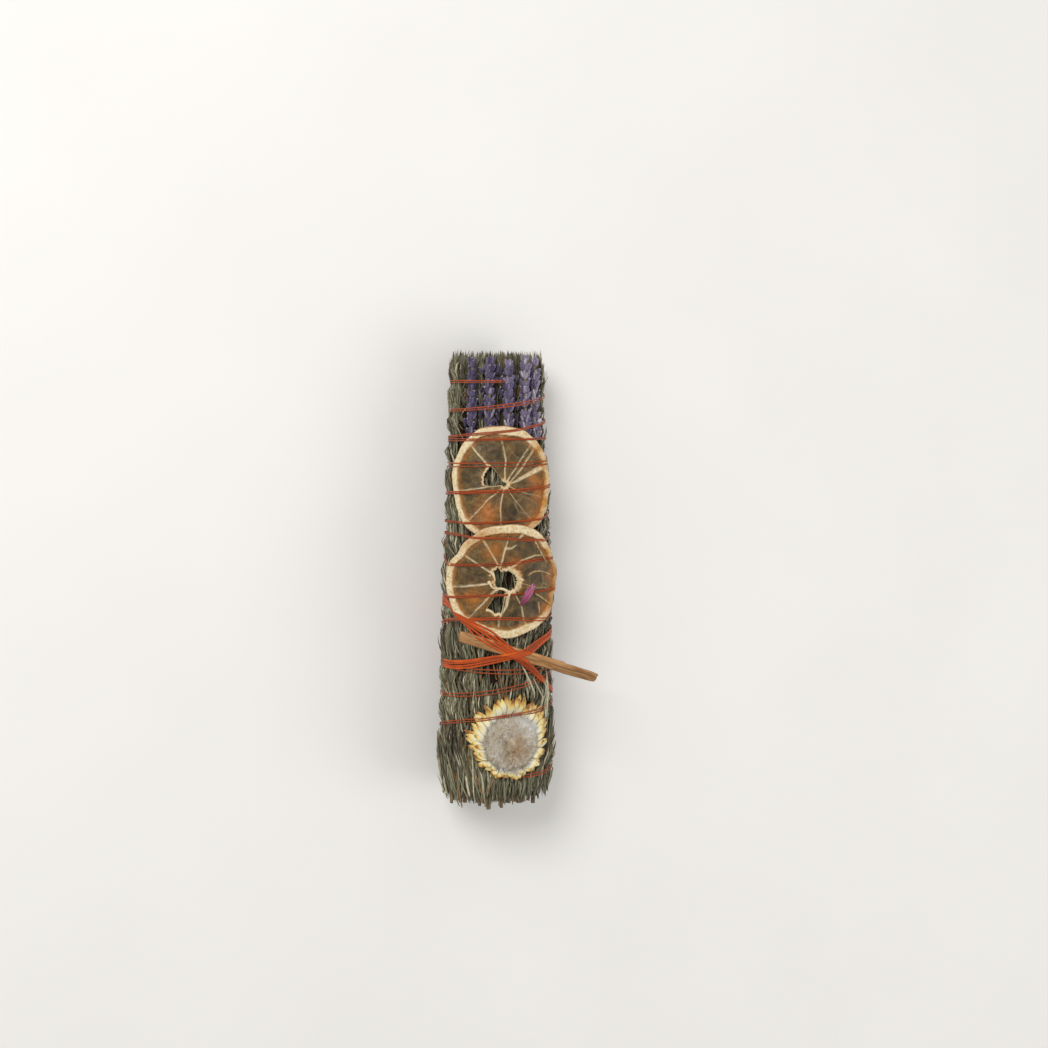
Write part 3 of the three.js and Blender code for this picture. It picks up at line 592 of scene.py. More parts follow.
def drySprig(number):
    rng = np.random.default_rng(100 + number)
    spacing = turn / rosemary["sprigs"]
    centre = number * spacing
    clumps, each = rosemary["clumps"], rosemary["needlesPerClump"]
    clumpStart = rng.uniform(bundle["foliageStart"] + 2, bundle["foliageEnd"] - 3, clumps)
    # More clumps close the cut end, where no needles reach in from further down
    endStart = bundle["foliageStart"] + rng.uniform(-3, 4, rosemary["endClumps"])
    clumpStart = np.repeat(np.append(clumpStart, endStart), each)
    clumps = clumps + rosemary["endClumps"]
    count = clumps * each
    clumpAngle = np.repeat(rng.uniform(-spacing / 2, spacing / 2, clumps), each)
    clumpDepth = np.repeat(rng.uniform(0, 1, clumps) ** 1.2 * 2.4, each)
    fan = rng.normal(0, 1, count)
    start = clumpStart + rng.normal(0, 2.4, count)
    length = rng.uniform(*rosemary["length"], count)
    length = np.minimum(length, bundle["tipsEnd"] - start - rng.uniform(0, 7, count))
    rootAngle = np.clip(clumpAngle + 0.03 * fan, -spacing / 2, spacing / 2)
    wild = np.where(rng.uniform(0, 1, count) < rosemary["wildShare"], 3.2, 1)
    tipAngle = rootAngle + 0.075 * fan + rng.normal(0, 0.05, count) * wild
    tipAngle = np.clip(tipAngle, -spacing * 0.66, spacing * 0.66)
    keep = length > 8
    flare = rng.uniform(-0.8, 1, count) * rosemary["flare"]
    placed = layNeedles(
        start, length, centre + rootAngle, tipAngle - rootAngle, rng.normal(0, 0.026, count),
        clumpDepth + rosemary["depth"], clumpDepth * 0.8 + rng.uniform(0, 1.2, count), flare,
        rng.uniform(*rosemary["halfWidth"], count), rng.normal(0, 0.6, count),
        rng.normal(0, 0.006, count),
    )[keep]
    # Needles that lie low, as under the lavender, and needles in deeper clumps get a darker tone: painted
    # shade
    middle, around = start + length / 2, centre + rootAngle
    sunk = (bundleRadius(middle) - rosemaryLimit(around, middle)) / (2 * lavender["reach"])
    tone = np.clip(0.56 + 0.24 * rng.normal(0, 1, count) - 0.13 * clumpDepth - 0.12 * sunk, 0, 0.93)
    tone = np.where(rng.uniform(0, 1, count) < rosemary["brownShare"], 1.0, tone)[keep]
    pieces = [joinNeedles(placed, tone)]

    if number == rosemary["straySprig"]:
        angles, starts, lengths, drifts, bows = np.array(rosemary["strays"]).T
        count = len(angles)
        placed = layNeedles(
            starts, lengths, angles, drifts, bows, np.full(count, 0.6), np.full(count, -0.9),
            np.full(count, 0.8), np.full(count, 0.62), rng.normal(0, 0.4, count), 0 * angles,
        )
        pieces.append(joinNeedles(placed, rng.uniform(0.78, 0.93, count)))

    # Needles all through the tip end's face
    count = rosemary["tipNeedles"]
    start = rng.uniform(84, 95, count)
    rootAngle = centre + rng.uniform(-spacing / 2, spacing / 2, count)
    inside = (1 - rng.uniform(0, 1, count) ** 0.75) * (rosemaryLimit(rootAngle, start) - 4)
    placed = layNeedles(
        start, bundle["tipsEnd"] - 1 - rng.uniform(0, 9, count) - start, rootAngle,
        rng.normal(0, 0.04, count), rng.normal(0, 0.02, count), inside + 3, inside + 1.5,
        rng.uniform(0, 1, count), rng.uniform(*rosemary["halfWidth"], count),
        rng.uniform(-1.5, 1.5, count), rng.normal(0, 0.01, count),
    )
    pieces.append(joinNeedles(placed, np.clip(rng.normal(0.5, 0.2, count), 0, 1)))

    # Leaf bases stand between the stems at the cut end
    count = rosemary["endNeedles"]
    start = bundle["foliageStart"] - rng.uniform(0, 6, count)
    rootAngle = centre + rng.uniform(-spacing / 2, spacing / 2, count)
    inside = (1 - rng.uniform(0, 1, count) ** 0.6) * (rosemaryLimit(rootAngle, start) - 4)
    placed = layNeedles(
        start, rng.uniform(8, 13, count), rootAngle, rng.normal(0, 0.03, count),
        rng.normal(0, 0.02, count), inside + 2.4, inside + 2.8, 0 * inside,
        rng.uniform(*rosemary["halfWidth"], count), rng.uniform(-1.5, 1.5, count),
        rng.normal(0, 0.01, count),
    )
    pieces.append(joinNeedles(placed, np.clip(rng.normal(0.4, 0.22, count), 0, 1)))
    return joinPieces([*pieces, shadeCore(centre, spacing / 2), *cutTwigs(rng, centre)])


def shadeCore(centre, half):
    # The dark packed inside of one sprig's share of the bundle, coloured as painted shade: a grid bent to
    # its outside, then extruded to the axis
    selectNothing()
    bpy.ops.mesh.primitive_grid_add(x_subdivisions=8, y_subdivisions=90, size=2)
    core = bpy.context.object
    first, last = bundle["foliageStart"], bundle["foliageEnd"]
    points = readPoints(core.data)
    angle = centre + points[:, 0] * half
    y = first + (points[:, 1] + 1) / 2 * (last - first)
    ripple = 0.35 * np.sin(angle * 60 + y * 0.7) + 0.25 * np.sin(y * 1.9 + angle * 23)
    radius = rosemaryLimit(angle, y) - rosemary["depth"] + ripple
    inset = 1 - 0.28 * (1 - smoothStep(0, 3, np.minimum(y - first, last - y)))
    writePoints(core.data, onBundle(angle, y, radius * inset) * mm)
    editAll(core)
    bpy.ops.mesh.extrude_region_move()
    bpy.ops.object.mode_set(mode="OBJECT")
    # The extruded copy shrinks to the bundle's axis, which closes the wedge at both ends
    points = readPoints(core.data) / mm
    chosen = np.array([vertex.select for vertex in core.data.vertices])
    places = points[chosen, 1]
    inner = onBundle(np.full(len(places), centre), places, np.full(len(places), 1.0))
    inner[:, :3:2] += 0.02 * (points[chosen][:, :3:2] - inner[:, :3:2])
    points[chosen] = inner
    writePoints(core.data, points * mm)
    makeOutward(core)
    # Painted shade: the core is coloured near black-brown
    core.data.materials.append(packedShade)
    setAttribute(core.data, "tone", 0)
    return core


def cutTwigs(rng, centre):
    # Woody stems that stand out of the cut end, with a pale cut face
    depth = bundle["girth"][0] * twigs["depth"]
    stems = [(turnBy, depth * share, thickness) for turnBy, share, thickness in twigs["thick"]]
    stems += [
        (rng.uniform(-0.3, 0.3), depth * rng.uniform(0.2, 1.62), rng.uniform(0.35, 0.85))
        for _ in range(twigs["thinCount"])
    ]
    made = []
    for turnBy, radius, thickness in stems:
        start = bundle["stemStart"] + rng.uniform(0, 4) * (1 if thickness > 0.85 else 1.8)
        selectNothing()
        bpy.ops.mesh.primitive_cylinder_add(
            vertices=twigs["sides"], radius=thickness, depth=twigs["length"], end_fill_type="NGON"
        )
        twig = bpy.context.object
        editAll(twig)
        for cut in twigs["cuts"]:
            bpy.ops.mesh.select_all(action="SELECT")
            bpy.ops.mesh.bisect(plane_co=(0, 0, cut), plane_no=(0, 0, 1))
        bpy.ops.object.mode_set(mode="OBJECT")
        points = readPoints(twig.data)
        along = points[:, 2] + twigs["length"] / 2
        swell = 1 + 0.1 * np.sin(along * 0.8 + turnBy * 20) + 0.05 * rng.normal(0, 1, len(along))
        swell = swell * np.where(along < 0.1, 0.9, 1)
        tilt = rng.normal(0, 0.03, 2)
        middle = onBundle(np.array(centre + turnBy), np.array(start), radius)
        placed = np.stack([
            middle[0] + points[:, 0] * swell + tilt[0] * along,
            start + along + 0.3 * points[:, 0] * tilt[0],
            middle[2] + points[:, 1] * swell + tilt[1] * along,
        ], -1)
        writePoints(twig.data, placed * mm)
        makeOutward(twig)
        twig.data.materials.append(twigBark)
        twig.data.materials.append(cutWood)
        for face in twig.data.polygons:
            face.use_smooth = len(face.vertices) == 4
            face.material_index = not face.use_smooth and face.center.y < (start + 1) * mm
        setAttribute(twig.data, "tone", 0)
        made.append(twig)
    return made


for number in range(1, rosemary["sprigs"] + 1):
    standFor(drySprig(number - 1), f"rosemary_needles_{number}", "rosemary", f"rosemary_sprig_{number}")
print("rosemary: ten sprigs of needles lie round the bundle")

# Lavender

lavenderLook = {
    "end": 108.2,
    "whorlSpacing": 3.5,
    "budsPerWhorl": 9,
    "budSides": 10,
    "budLength": 4.3,
    "budRadius": 0.82,
    "stemRadius": 0.9,
    "looseBuds": 12,
    "openShare": 0.35,  # calyces with a withered petal in the mouth
}

# Dried lavender calyx: ribbed and felted with short grey hairs, so its violet looks dusty and
# its edges pale
lavenderFelt, tree, shader = newMaterial(
    "driedLavenderCalyx",
    {"Roughness": 0.9, "Specular IOR Level": 0.15, "Sheen Weight": 0.35, "Sheen Roughness": 0.5},
)
tone = addNode(tree, "Attribute", attribute_name="tone")
feltColor = addNode(
    tree, "ValToRGB", {"Fac": (tone, "Fac")},
    stops=[
        (0.0, "#352D3E"), (0.3, "#493F5B"), (0.52, "#5F5476"), (0.7, "#7F7490"), (0.86, "#A098A4"),
        (1.0, "#CAC4C8"),
    ],
)
coordinates = addNode(tree, "TexCoord")
dust = addNode(tree, "TexNoise", {
    "Vector": (coordinates, "Object"), "Scale": perMetre(0.8), "Detail": 4.0,
})
dustTone = addNode(tree, "MapRange", {
    "Value": (dust, "Fac"), "From Min": 0.3, "From Max": 0.7, "To Min": 0.6, "To Max": 1.45,
})
dusty = addNode(
    tree, "VectorMath", {0: (feltColor, "Color"), "Scale": (dustTone, "Result")}, operation="SCALE",
)
feltBump = addNode(tree, "Bump", {"Height": (dust, "Fac"), "Strength": 0.7, "Distance": 0.2 * mm})
setInputs(shader, {"Base Color": (dusty, "Vector"), "Normal": (feltBump, "Normal")})

# A calyx: a ribbed barrel with a small open mouth
budTemplate = takeTemplate(growShape(lavenderLook["budSides"], [
    (0, 0.3, 0.3), (0.12, 0.72, 0.72), (0.38, 1, 1), (0.7, 0.86, 0.86), (0.9, 0.62, 0.62), (1, 0.7, 0.7),
    (0.97, 0.42, 0.42), (0.8, 0.3, 0.3),
], pointed=False))
budPoints = budTemplate["points"].copy()
ribNumber = np.round(np.arctan2(budPoints[:, 1], budPoints[:, 0]) / turn * lavenderLook["budSides"])
budPoints[:, :2] *= column(np.where(ribNumber % 2 == 0, 1.06, 0.86))


def placeBud(root, side, up, along, thick, length):
    section = budPoints[:, :1] * side + budPoints[:, 1:2] * up
    return root + section * thick + budPoints[:, 2:] * length * along


def lavenderSpike(number):
    rng = np.random.default_rng(300 + number)
    angle = (number - (lavender["spikes"] - 1) / 2) * lavender["spacing"]
    end = lavenderLook["end"] - rng.uniform(0, 4)
    forward = np.array([0, 1, 0])

    def centreAt(y):
        y = np.asarray(y, float)
        return onBundle(angle + 0 * y, y, bundleRadius(y) - lavender["reach"] - 0.35)

    rows = int((end - lavender["start"] - 3) / lavenderLook["whorlSpacing"])
    placed, tones = [], []
    for row in range(rows):
        y = end - 5.2 - row * lavenderLook["whorlSpacing"] + rng.uniform(-0.5, 0.5)
        spread = 0.55 if row == 0 else 1
        for i in range(lavenderLook["budsPerWhorl"]):
            around = (i + (row % 2) / 2 + rng.uniform(-0.25, 0.25)) / lavenderLook["budsPerWhorl"] * turn
            out = np.array([math.cos(around), 0, math.sin(around)])
            side = np.array([-math.sin(around), 0, math.cos(around)])
            lean = rng.uniform(0.32, 0.62) * spread
            along = forward * math.cos(lean) + out * math.sin(lean)
            up = out * math.cos(lean) - forward * math.sin(lean)
            length = lavenderLook["budLength"] * rng.uniform(0.75, 1.05)
            thick = lavenderLook["budRadius"] * rng.uniform(0.8, 1.1)
            root = centreAt(y + rng.uniform(-0.8, 0.8)) + out * lavenderLook["stemRadius"] * 0.6
            shape = placeBud(root, side, up, along, thick, length)
            # No bud stands out further than the threads lie
            middle = centreAt(shape[:, 1])
            offset = shape - middle
            distance = np.linalg.norm(offset[:, ::2], axis=1)
            shrink = np.minimum(1, (lavender["reach"] - 0.25) / np.maximum(distance, 0.01))
            shape[:, ::2] = middle[:, ::2] + offset[:, ::2] * column(shrink)
            placed.append(shape)
            tones.append(np.clip(rng.normal(0.38 + 0.09 * number, 0.14), 0, 1))
    # Loose calyces have slipped in between the spikes
    for _ in range(lavenderLook["looseBuds"]):
        y = rng.uniform(lavender["start"] + 3, end - 7)
        beside = angle + lavender["spacing"] * rng.uniform(0.4, 0.6) * rng.choice([-1, 1])
        out = np.array([math.sin(beside), 0, math.cos(beside)])
        lean = rng.normal(0, 0.5)
        side = np.array([out[2] * math.cos(lean), -math.sin(lean), -out[0] * math.cos(lean)])
        thick = lavenderLook["budRadius"] * rng.uniform(0.75, 1.0)
        length = lavenderLook["budLength"] * rng.uniform(0.7, 1.0)
        root = onBundle(np.array(beside), np.array(y), rosemaryLimit(beside, y) + rng.uniform(0.8, 3.2))
        placed.append(placeBud(root, side, out, np.cross(out, side), thick, length))
        tones.append(np.clip(rng.normal(0.3, 0.2), 0, 1))
    buds = joinCopies(budTemplate, np.array(placed), lavenderFelt, {"tone": np.array(tones)})

    # Small withered petals stand out of some mouths
    petals, tones = [], []
    u, w, v = needlePoints.T
    for shape in placed:
        if rng.uniform() < lavenderLook["openShare"]:
            mouth = shape[-lavenderLook["budSides"]:].mean(0)
            along = mouth - shape[:lavenderLook["budSides"]].mean(0)
            along = along / np.linalg.norm(along)
            side = np.cross(along, [0, 0, 1.0])
            side /= max(np.linalg.norm(side), 1e-6)
            up = np.cross(side, along)
            wide = 0.55 * rng.uniform(0.7, 1.2)
            blade = np.outer(u, side) * wide + np.outer(w * 0.25 + v * v * 0.5, up) * wide
            petals.append(mouth + blade + np.outer(v * 1.3, along))
            tones.append(rng.uniform(0.72, 1))
    flowers = joinCopies(needleTemplate, np.array(petals), lavenderFelt, {"tone": np.array(tones)})

    places = np.linspace(lavender["start"] - 1, end - 2, 16)
    stem = layTubes([centreAt(places)], [lavenderLook["stemRadius"]], 8, twigBark)
    return joinPieces([buds, flowers, stem])


for number in range(1, lavender["spikes"] + 1):
    standFor(lavenderSpike(number - 1), f"lavender_buds_{number}", "lavender", f"lavender_spike_{number}")
print("lavender: five spikes lie at the tip end")

# Citrus slices

# Lines and patches of each slice, in millimetres across and along from its centre
upperLook = {
    "hole": 0.8,
    "tears": [(155, 34, 9.5)],  # direction and half width in degrees, reach
    "rim": [(90, 60, 3.9), (0, 70, 3.1), (270, 60, 2.6), (180, 60, 3.0)],  # direction, spread, width
    "membranes": [
        ([(0, 1), (0.9, 11.7), (-1.4, 24.5)], 0.6, 0.4),
        ([(1, 1.2), (4.6, 6.6), (9.8, 13.8), (13.4, 18.4)], 0.5, 0.5),
        ([(2.2, 0.6), (6.4, 5.2), (11.6, 11.6), (15.6, 16.6)], 0.4, 0.8),
        ([(2, 0.2), (6.6, 2.1), (12, 4.6), (18, 7), (24, 8)], 0.4, 2.4),
        ([(0.6, -1), (4.6, -7), (14, -18)], 0.4, 0.3),
        ([(0, -1), (-1.6, -9), (-2, -24)], 0.5, 0.4),
        ([(1, -0.5), (9, -4), (22, -7)], 0.4, 0.25),
        ([(-0.6, -1), (-7, -7), (-16, -17)], 0.5, 0.5),
        ([(-1, 0), (-11, -2), (-24, -4)], 0.7, 0.5),
        ([(-0.5, 1), (-6.6, 8), (-15, 18)], 0.9, 0.6),
    ],
    "ovals": [((7.9, 16.2), (4.1, 4.3)), ((9.5, -10), (5, 4))],
    "amber": [((20, -4), 7), ((17, -17), 6), ((-8, -14), 6), ((15, 2), 4)],
    "dark": [((-6, 14), 6), ((7.5, 15), 3.5), ((3, -13), 5), ((-14, 4), 6), ((12, -4), 3)],
    "yellow": [((21.5, -9), 2.2), ((17.5, 16.5), 2)],
    "core": [(20, 90, 1.6)],
    "waves": [(3, 1.2, 0.016), (7, 0.0, 0.012), (13, 0.6, 0.004)],
    "notches": [(14, 7, 0.7), (-52, 8, 0.9), (58, 6, 0.6)],  # direction, half width, depth
    "gold": [(0, 48, 0.24), (-48, 26, 0.5), (40, 14, 0.2)],  # direction, spread, amount
    "brown": [(-50, 14, 0.2)],
    "seed": 11,
}
lowerLook = {
    "hole": 5.0,
    "tears": [(250, 17, 15.5), (140, 26, 7.5)],
    "rim": [(80, 48, 4.3), (0, 38, 1.7), (275, 55, 4.3), (180, 60, 3.2)],
    "membranes": [
        ([(-2.8, 6.5), (-8.5, 15.8), (-11.5, 21)], 0.5, 0.7),
        ([(-2.8, 6.5), (-0.6, 15.5), (0.6, 21)], 0.7, 0.4),
        ([(-0.6, 15.6), (2.2, 15.8), (4.5, 17.2)], 0.9, 0.4),
        ([(3.9, 19.2), (6, 20.4), (8.5, 23.6)], 0.4, 1.0),
        ([(2.2, 6.5), (8, 10), (14, 12.1), (24, 10.9)], 0.8, 0.4),
        ([(3.6, -4.4), (7.8, -11.9), (9, -18.6), (11.4, -23)], 0.4, 0.6),
        ([(1.4, -5.4), (0.6, -11.3), (-2.8, -18), (-3, -24)], 1.2, 0.4),
        ([(-4, -3.5), (-12, -12), (-18, -19)], 0.7, 0.5),
        ([(-5, -0.5), (-16, -2), (-27, -3)], 0.8, 0.5),
        ([(-4.4, 2.5), (-14, 9), (-22, 14)], 0.7, 0.5),
        ([(6, -0.5), (15, -3.4), (25, -4.6)], 0.3, 0.3),
    ],
    "ovals": [((4.6, -20.6), (3.2, 1.9)), ((10.6, -20.4), (2.2, 1.8)), ((15.5, 0.4), (3.6, 4.6))],
    "amber": [((-5.6, 14.5), 4.6), ((5, 9), 3.4), ((20, -14), 2.6), ((-14, -8), 5), ((22, 2), 2)],
    "dark": [((8, 14), 5), ((12, 5), 4), ((5, -16), 4.5), ((-14, 4), 5), ((15, 0), 4), ((14, -12), 5)],
    "strips": [[(-8.2, 0.4), (-6.2, -3), (-1.8, -3.3), (4.4, -6)], [(-6.4, 4.6), (-5.2, 1), (-6.4, -2.6)]],
    "yellow": [((19.4, 13.4), 2.0), ((7.4, 3.8), 1.8)],
    "core": [(0, 75, 3.4), (110, 60, 1.3), (250, 60, 1.2)],
    "waves": [(3, 4.0, 0.016), (7, 0.0, 0.012), (13, 2.0, 0.006)],
    "notches": [(24, 6, 1.3), (-4, 6, 0.8), (-20, 5, 1.1), (150, 7, 0.5)],
    "gold": [(8, 30, 0.7), (-28, 16, 0.7), (118, 20, 0.5)],
    "brown": [(2, 22, 0.75), (-30, 8, 0.5), (122, 16, 0.4)],
    "seed": 23,
}
slicePart = {"rim": 2.6, "flesh": 1.25, "membrane": 2.1, "under": 0.55, "gap": 0.3}

# Dried citrus pith: chalky cream peel with an amber inner edge and a brown outer skin
# Dried citrus pulp: juice cells shrunk to a thin amber-brown glassy film that the needles
# underneath show through
sliceMaterials = []
for finishName, alpha, roughness in (("driedCitrusPith", 1.0, 0.62), ("driedCitrusPulp", 0.64, 0.42)):
    finish, tree, shader = newMaterial(finishName, {"Roughness": roughness, "Alpha": alpha})
    marks = {
        name: addNode(tree, "Attribute", attribute_name=name)
        for name in ("pith", "amber", "yellow", "peel", "dark")
    }
    uvMap = addNode(tree, "UVMap", uv_map="UVMap")
    coordinates = addNode(tree, "TexCoord")
    cells = addNode(
        tree, "TexVoronoi", {"Vector": (uvMap, "UV"), "Scale": 1.0, "Smoothness": 0.6},
        feature="SMOOTH_F1",
    )
    blotch = addNode(tree, "TexNoise", {
        "Vector": (coordinates, "Object"), "Scale": perMetre(3.2), "Detail": 5.0, "Roughness": 0.65,
    })
    pulpColor = addNode(
        tree, "ValToRGB", {"Fac": (blotch, "Fac")},
        stops=[(0.25, "#372C16"), (0.42, "#594726"), (0.58, "#776034"), (0.78, "#A08550")],
    )
    # Of a Mix node's colours, 6 and 7 are its inputs and 2 is its output
    amberMix = addNode(
        tree, "Mix", {"Factor": (marks["amber"], "Fac"), 6: (pulpColor, "Color"), 7: hexColor("#B06C26")},
        data_type="RGBA",
    )
    cellTone = addNode(tree, "MapRange", {"Value": (cells, "Distance"), "To Min": 1.35, "To Max": 0.65})
    darkTone = addNode(tree, "MapRange", {"Value": (marks["dark"], "Fac"), "To Min": 1.1, "To Max": 0.42})
    pulpTone = addNode(
        tree, "Math", {0: (cellTone, "Result"), 1: (darkTone, "Result")}, operation="MULTIPLY",
    )
    pulpShaded = addNode(
        tree, "VectorMath", {0: (amberMix, 2), "Scale": (pulpTone, "Value")}, operation="SCALE",
    )
    speck = addNode(tree, "TexNoise", {
        "Vector": (coordinates, "Object"), "Scale": perMetre(1.1), "Detail": 6.0, "Roughness": 0.7,
    })
    pithColor = addNode(
        tree, "ValToRGB", {"Fac": (speck, "Fac")},
        stops=[(0.28, "#94703E"), (0.4, "#CFB380"), (0.56, "#E8D8B2"), (0.78, "#F8F2E2")],
    )
    yellowed = addNode(
        tree, "Mix", {"Factor": (marks["yellow"], "Fac"), 6: (pithColor, "Color"), 7: hexColor("#DDAE68")},
        data_type="RGBA", blend_type="MULTIPLY",
    )
    skinned = addNode(
        tree, "Mix", {"Factor": (marks["peel"], "Fac"), 6: (yellowed, 2), 7: hexColor("#A5662A")},
        data_type="RGBA",
    )
    whole = addNode(
        tree, "Mix", {"Factor": (marks["pith"], "Fac"), 6: (pulpShaded, "Vector"), 7: (skinned, 2)},
        data_type="RGBA",
    )
    sliceBump = addNode(tree, "Bump", {"Height": (speck, "Fac"), "Strength": 0.6, "Distance": 0.25 * mm})
    setInputs(shader, {"Base Color": (whole, 2), "Normal": (sliceBump, "Normal")})
    sliceMaterials.append(finish)


def roughen(points, size, seed):
    # Smooth noise from -1 to 1 with features of this size, in the same unit as the points
    shifted = points / size + seed * 7.3
    return np.array([noise.noise(Vector(point)) for point in shifted])


def lineDistance(x, y, line):
    # How far the nearest place of a line is, and how far along the line it lies, 0 to 1
    nearest, along = np.full(x.shape, 99.0), np.zeros(x.shape)
    for i, ((x0, y0), (x1, y1)) in enumerate(zip(line, line[1:])):
        dx, dy = x1 - x0, y1 - y0
        share = np.clip(((x - x0) * dx + (y - y0) * dy) / (dx * dx + dy * dy), 0, 1)
        apart = np.hypot(x - x0 - share * dx, y - y0 - share * dy)
        along = np.where(apart < nearest, (i + share) / (len(line) - 1), along)
        nearest = np.minimum(nearest, apart)
    return nearest, along


def directionShare(theta, degrees, spread):
    return bell(signedAngle(theta - math.radians(degrees)), math.radians(spread))


def directionWidth(theta, entries):
    # Blends widths that are given for some directions
    weights = [directionShare(theta, degrees, spread) + 1e-6 for degrees, spread, _ in entries]
    return sum(w * width for w, (_, _, width) in zip(weights, entries)) / sum(weights)


def sliceUnderside(piece, y):
    if piece is upperSlice:
        return topHeight(y) + slicePart["gap"] + 0.15
    foot = lowerSlice["centre"][1] - lowerSlice["halfHeight"]
    overlap = upperSlice["centre"][1] - upperSlice["halfHeight"]
    low = topHeight(foot) + slicePart["gap"] + 0.1
    high = topHeight(overlap) + slicePart["gap"] + 0.15 + slicePart["rim"] + slicePart["gap"] + 0.35
    return low + (y - foot) / (overlap - foot) * (high - low)


def onSlice(piece, across, along, height):
    turned = (piece["centre"][0] + across) / piece["bendRadius"]
    radius = piece["bendRadius"] + height
    y = piece["centre"][1] + along
    return np.stack([
        radius * np.sin(turned), y, sliceUnderside(piece, y) - piece["bendRadius"] + radius * np.cos(turned),
    ], -1)


def driedSlice(piece, look):
    # A torus opened into a slice: its outer half is the rim, its inner half the hole's edge
    selectNothing()
    bpy.ops.mesh.primitive_torus_add(
        major_segments=320, minor_segments=100, major_radius=20, minor_radius=5
    )
    made = bpy.context.object
    points = readPoints(made.data)
    theta = np.arctan2(points[:, 1], points[:, 0])
    section = np.arctan2(points[:, 2], np.hypot(points[:, 0], points[:, 1]) - 20)
    section = np.mod(section / turn, 1)  # round the tube, from the outer edge over the top
    onTop = section <= 0.5 + 1e-6
    inwards = np.where(onTop, section, 1 - section) * 2
    share = 1 - inwards ** 1.35

    circle = np.stack([np.cos(theta), np.sin(theta), 0 * theta], -1)
    ragged = roughen(circle, 0.12, look["seed"])
    hole = look["hole"] + 0.5 * ragged * min(look["hole"], 2)
    for degrees, spread, reach in look["tears"]:
        apart = np.abs(signedAngle(theta - math.radians(degrees))) / math.radians(spread)
        hole = np.maximum(hole, (1 - smoothStep(0.75, 1.15, apart)) * (reach + 0.9 * ragged))
    hole = np.maximum(hole, 0.5) / piece["halfWidth"]
    outline = 1 + sum(size * np.sin(times * theta + phase) for times, phase, size in look["waves"])
    outline = outline + 0.008 * roughen(circle, 0.16, 4)
    for degrees, spread, depth in look["notches"]:
        outline = outline - depth / piece["halfWidth"] * directionShare(theta, degrees, spread)
    reach = hole + (outline - hole) * share
    x = reach * piece["halfWidth"] * np.cos(theta)
    y = reach * piece["halfHeight"] * np.sin(theta)
    flat = np.stack([x, y, 0 * x], -1)
    coarse = roughen(flat, 5.0, look["seed"])
    medium = roughen(flat, 1.9, look["seed"] + 1)
    fine = roughen(flat, 0.8, look["seed"] + 2)

    edge = (outline - reach) * piece["halfWidth"]  # from the outer edge
    rimWidth = directionWidth(theta, look["rim"]) * (1 + 0.13 * coarse) + 0.3 * medium
    rim = 1 - smoothStep(-0.45, 0.35, edge - rimWidth)
    fromHole = (reach - hole) * piece["halfWidth"]
    coreWidth = directionWidth(theta, look["core"] + [(180, 40, 0.9)]) * (1 + 0.45 * medium)
    core = 1 - smoothStep(-0.35, 0.3, fromHole - coreWidth)
    membrane = np.zeros(x.shape)
    wandering = 0.35 * coarse + 0.15 * medium
    for line, startWidth, endWidth in look["membranes"]:
        apart, along = lineDistance(x + wandering, y - wandering, line)
        width = startWidth + (endWidth - startWidth) * along
        strength = np.minimum(0.5 + 0.35 * width, 1) * (1 + 0.3 * medium)
        inside = np.clip((apart - width * 0.3) / (width * 0.75 + 0.05), 0, 1)
        membrane = np.maximum(membrane, strength * (1 - inside * inside * (3 - 2 * inside)))
    ovalLine, ovalDip = np.zeros(x.shape), np.zeros(x.shape)
    for (cx, cy), (rx, ry) in look["ovals"]:
        oval = np.hypot((x - cx) / rx, (y - cy) / ry) * (1 + 0.3 * coarse + 0.12 * medium)
        line = bell((oval - 1) * min(rx, ry), 0.34) * (0.6 + 0.9 * coarse)
        ovalLine = np.maximum(ovalLine, line)
        ovalDip = np.maximum(ovalDip, 1 - smoothStep(0.5, 1, oval))
    pith = np.maximum.reduce([rim, core * 0.95, membrane * 0.92, ovalLine * 0.28])
    pith = np.clip(pith, 0, 1)

    # The flesh is thin, its walls stand up from it, and the rim is the thickest
    solid = np.maximum(rim, core * 0.7)
    wallRise = (slicePart["membrane"] - slicePart["flesh"]) * 0.6
    top = slicePart["flesh"] + 0.28 * coarse + 0.2 * medium + 0.1 * fine - 0.35 * ovalDip
    top = top + wallRise * np.maximum(membrane, 0.4 * ovalLine) * (1 - rim)
    rimTop = slicePart["rim"] - 0.15 + 0.22 * coarse + 0.14 * medium + 0.08 * fine
    top = top + (np.minimum(rimTop, slicePart["rim"]) - top) * smoothStep(0, 1, rim)
    top = top + core * (0.55 + 0.5 * medium) * (1 - rim)
    under = slicePart["under"] * (1 - solid) * (1 - 0.6 * membrane) + 0.1 * (1 + medium)
    middle = np.minimum(0.5 * (top + under), slicePart["rim"] * 0.5)
    rounding = np.sqrt(np.clip(1 - (1 - np.clip(edge / 1.1, 0, 1)) ** 2, 0, 1))
    rounding = rounding * np.sqrt(np.clip(1 - (1 - np.clip(fromHole / 0.5, 0, 1)) ** 2, 0, 1))
    height = middle + (np.where(onTop, top, under) - middle) * rounding
    writePoints(made.data, onSlice(piece, x, y, height) * mm)

    def patches(entries):
        amount = np.zeros(x.shape)
        for (cx, cy), size in entries:
            amount = np.maximum(amount, bell(np.hypot(x - cx, y - cy), size))
        return amount

    def byDirection(entries):
        return sum(amount * directionShare(theta, degrees, spread) for degrees, spread, amount in entries)

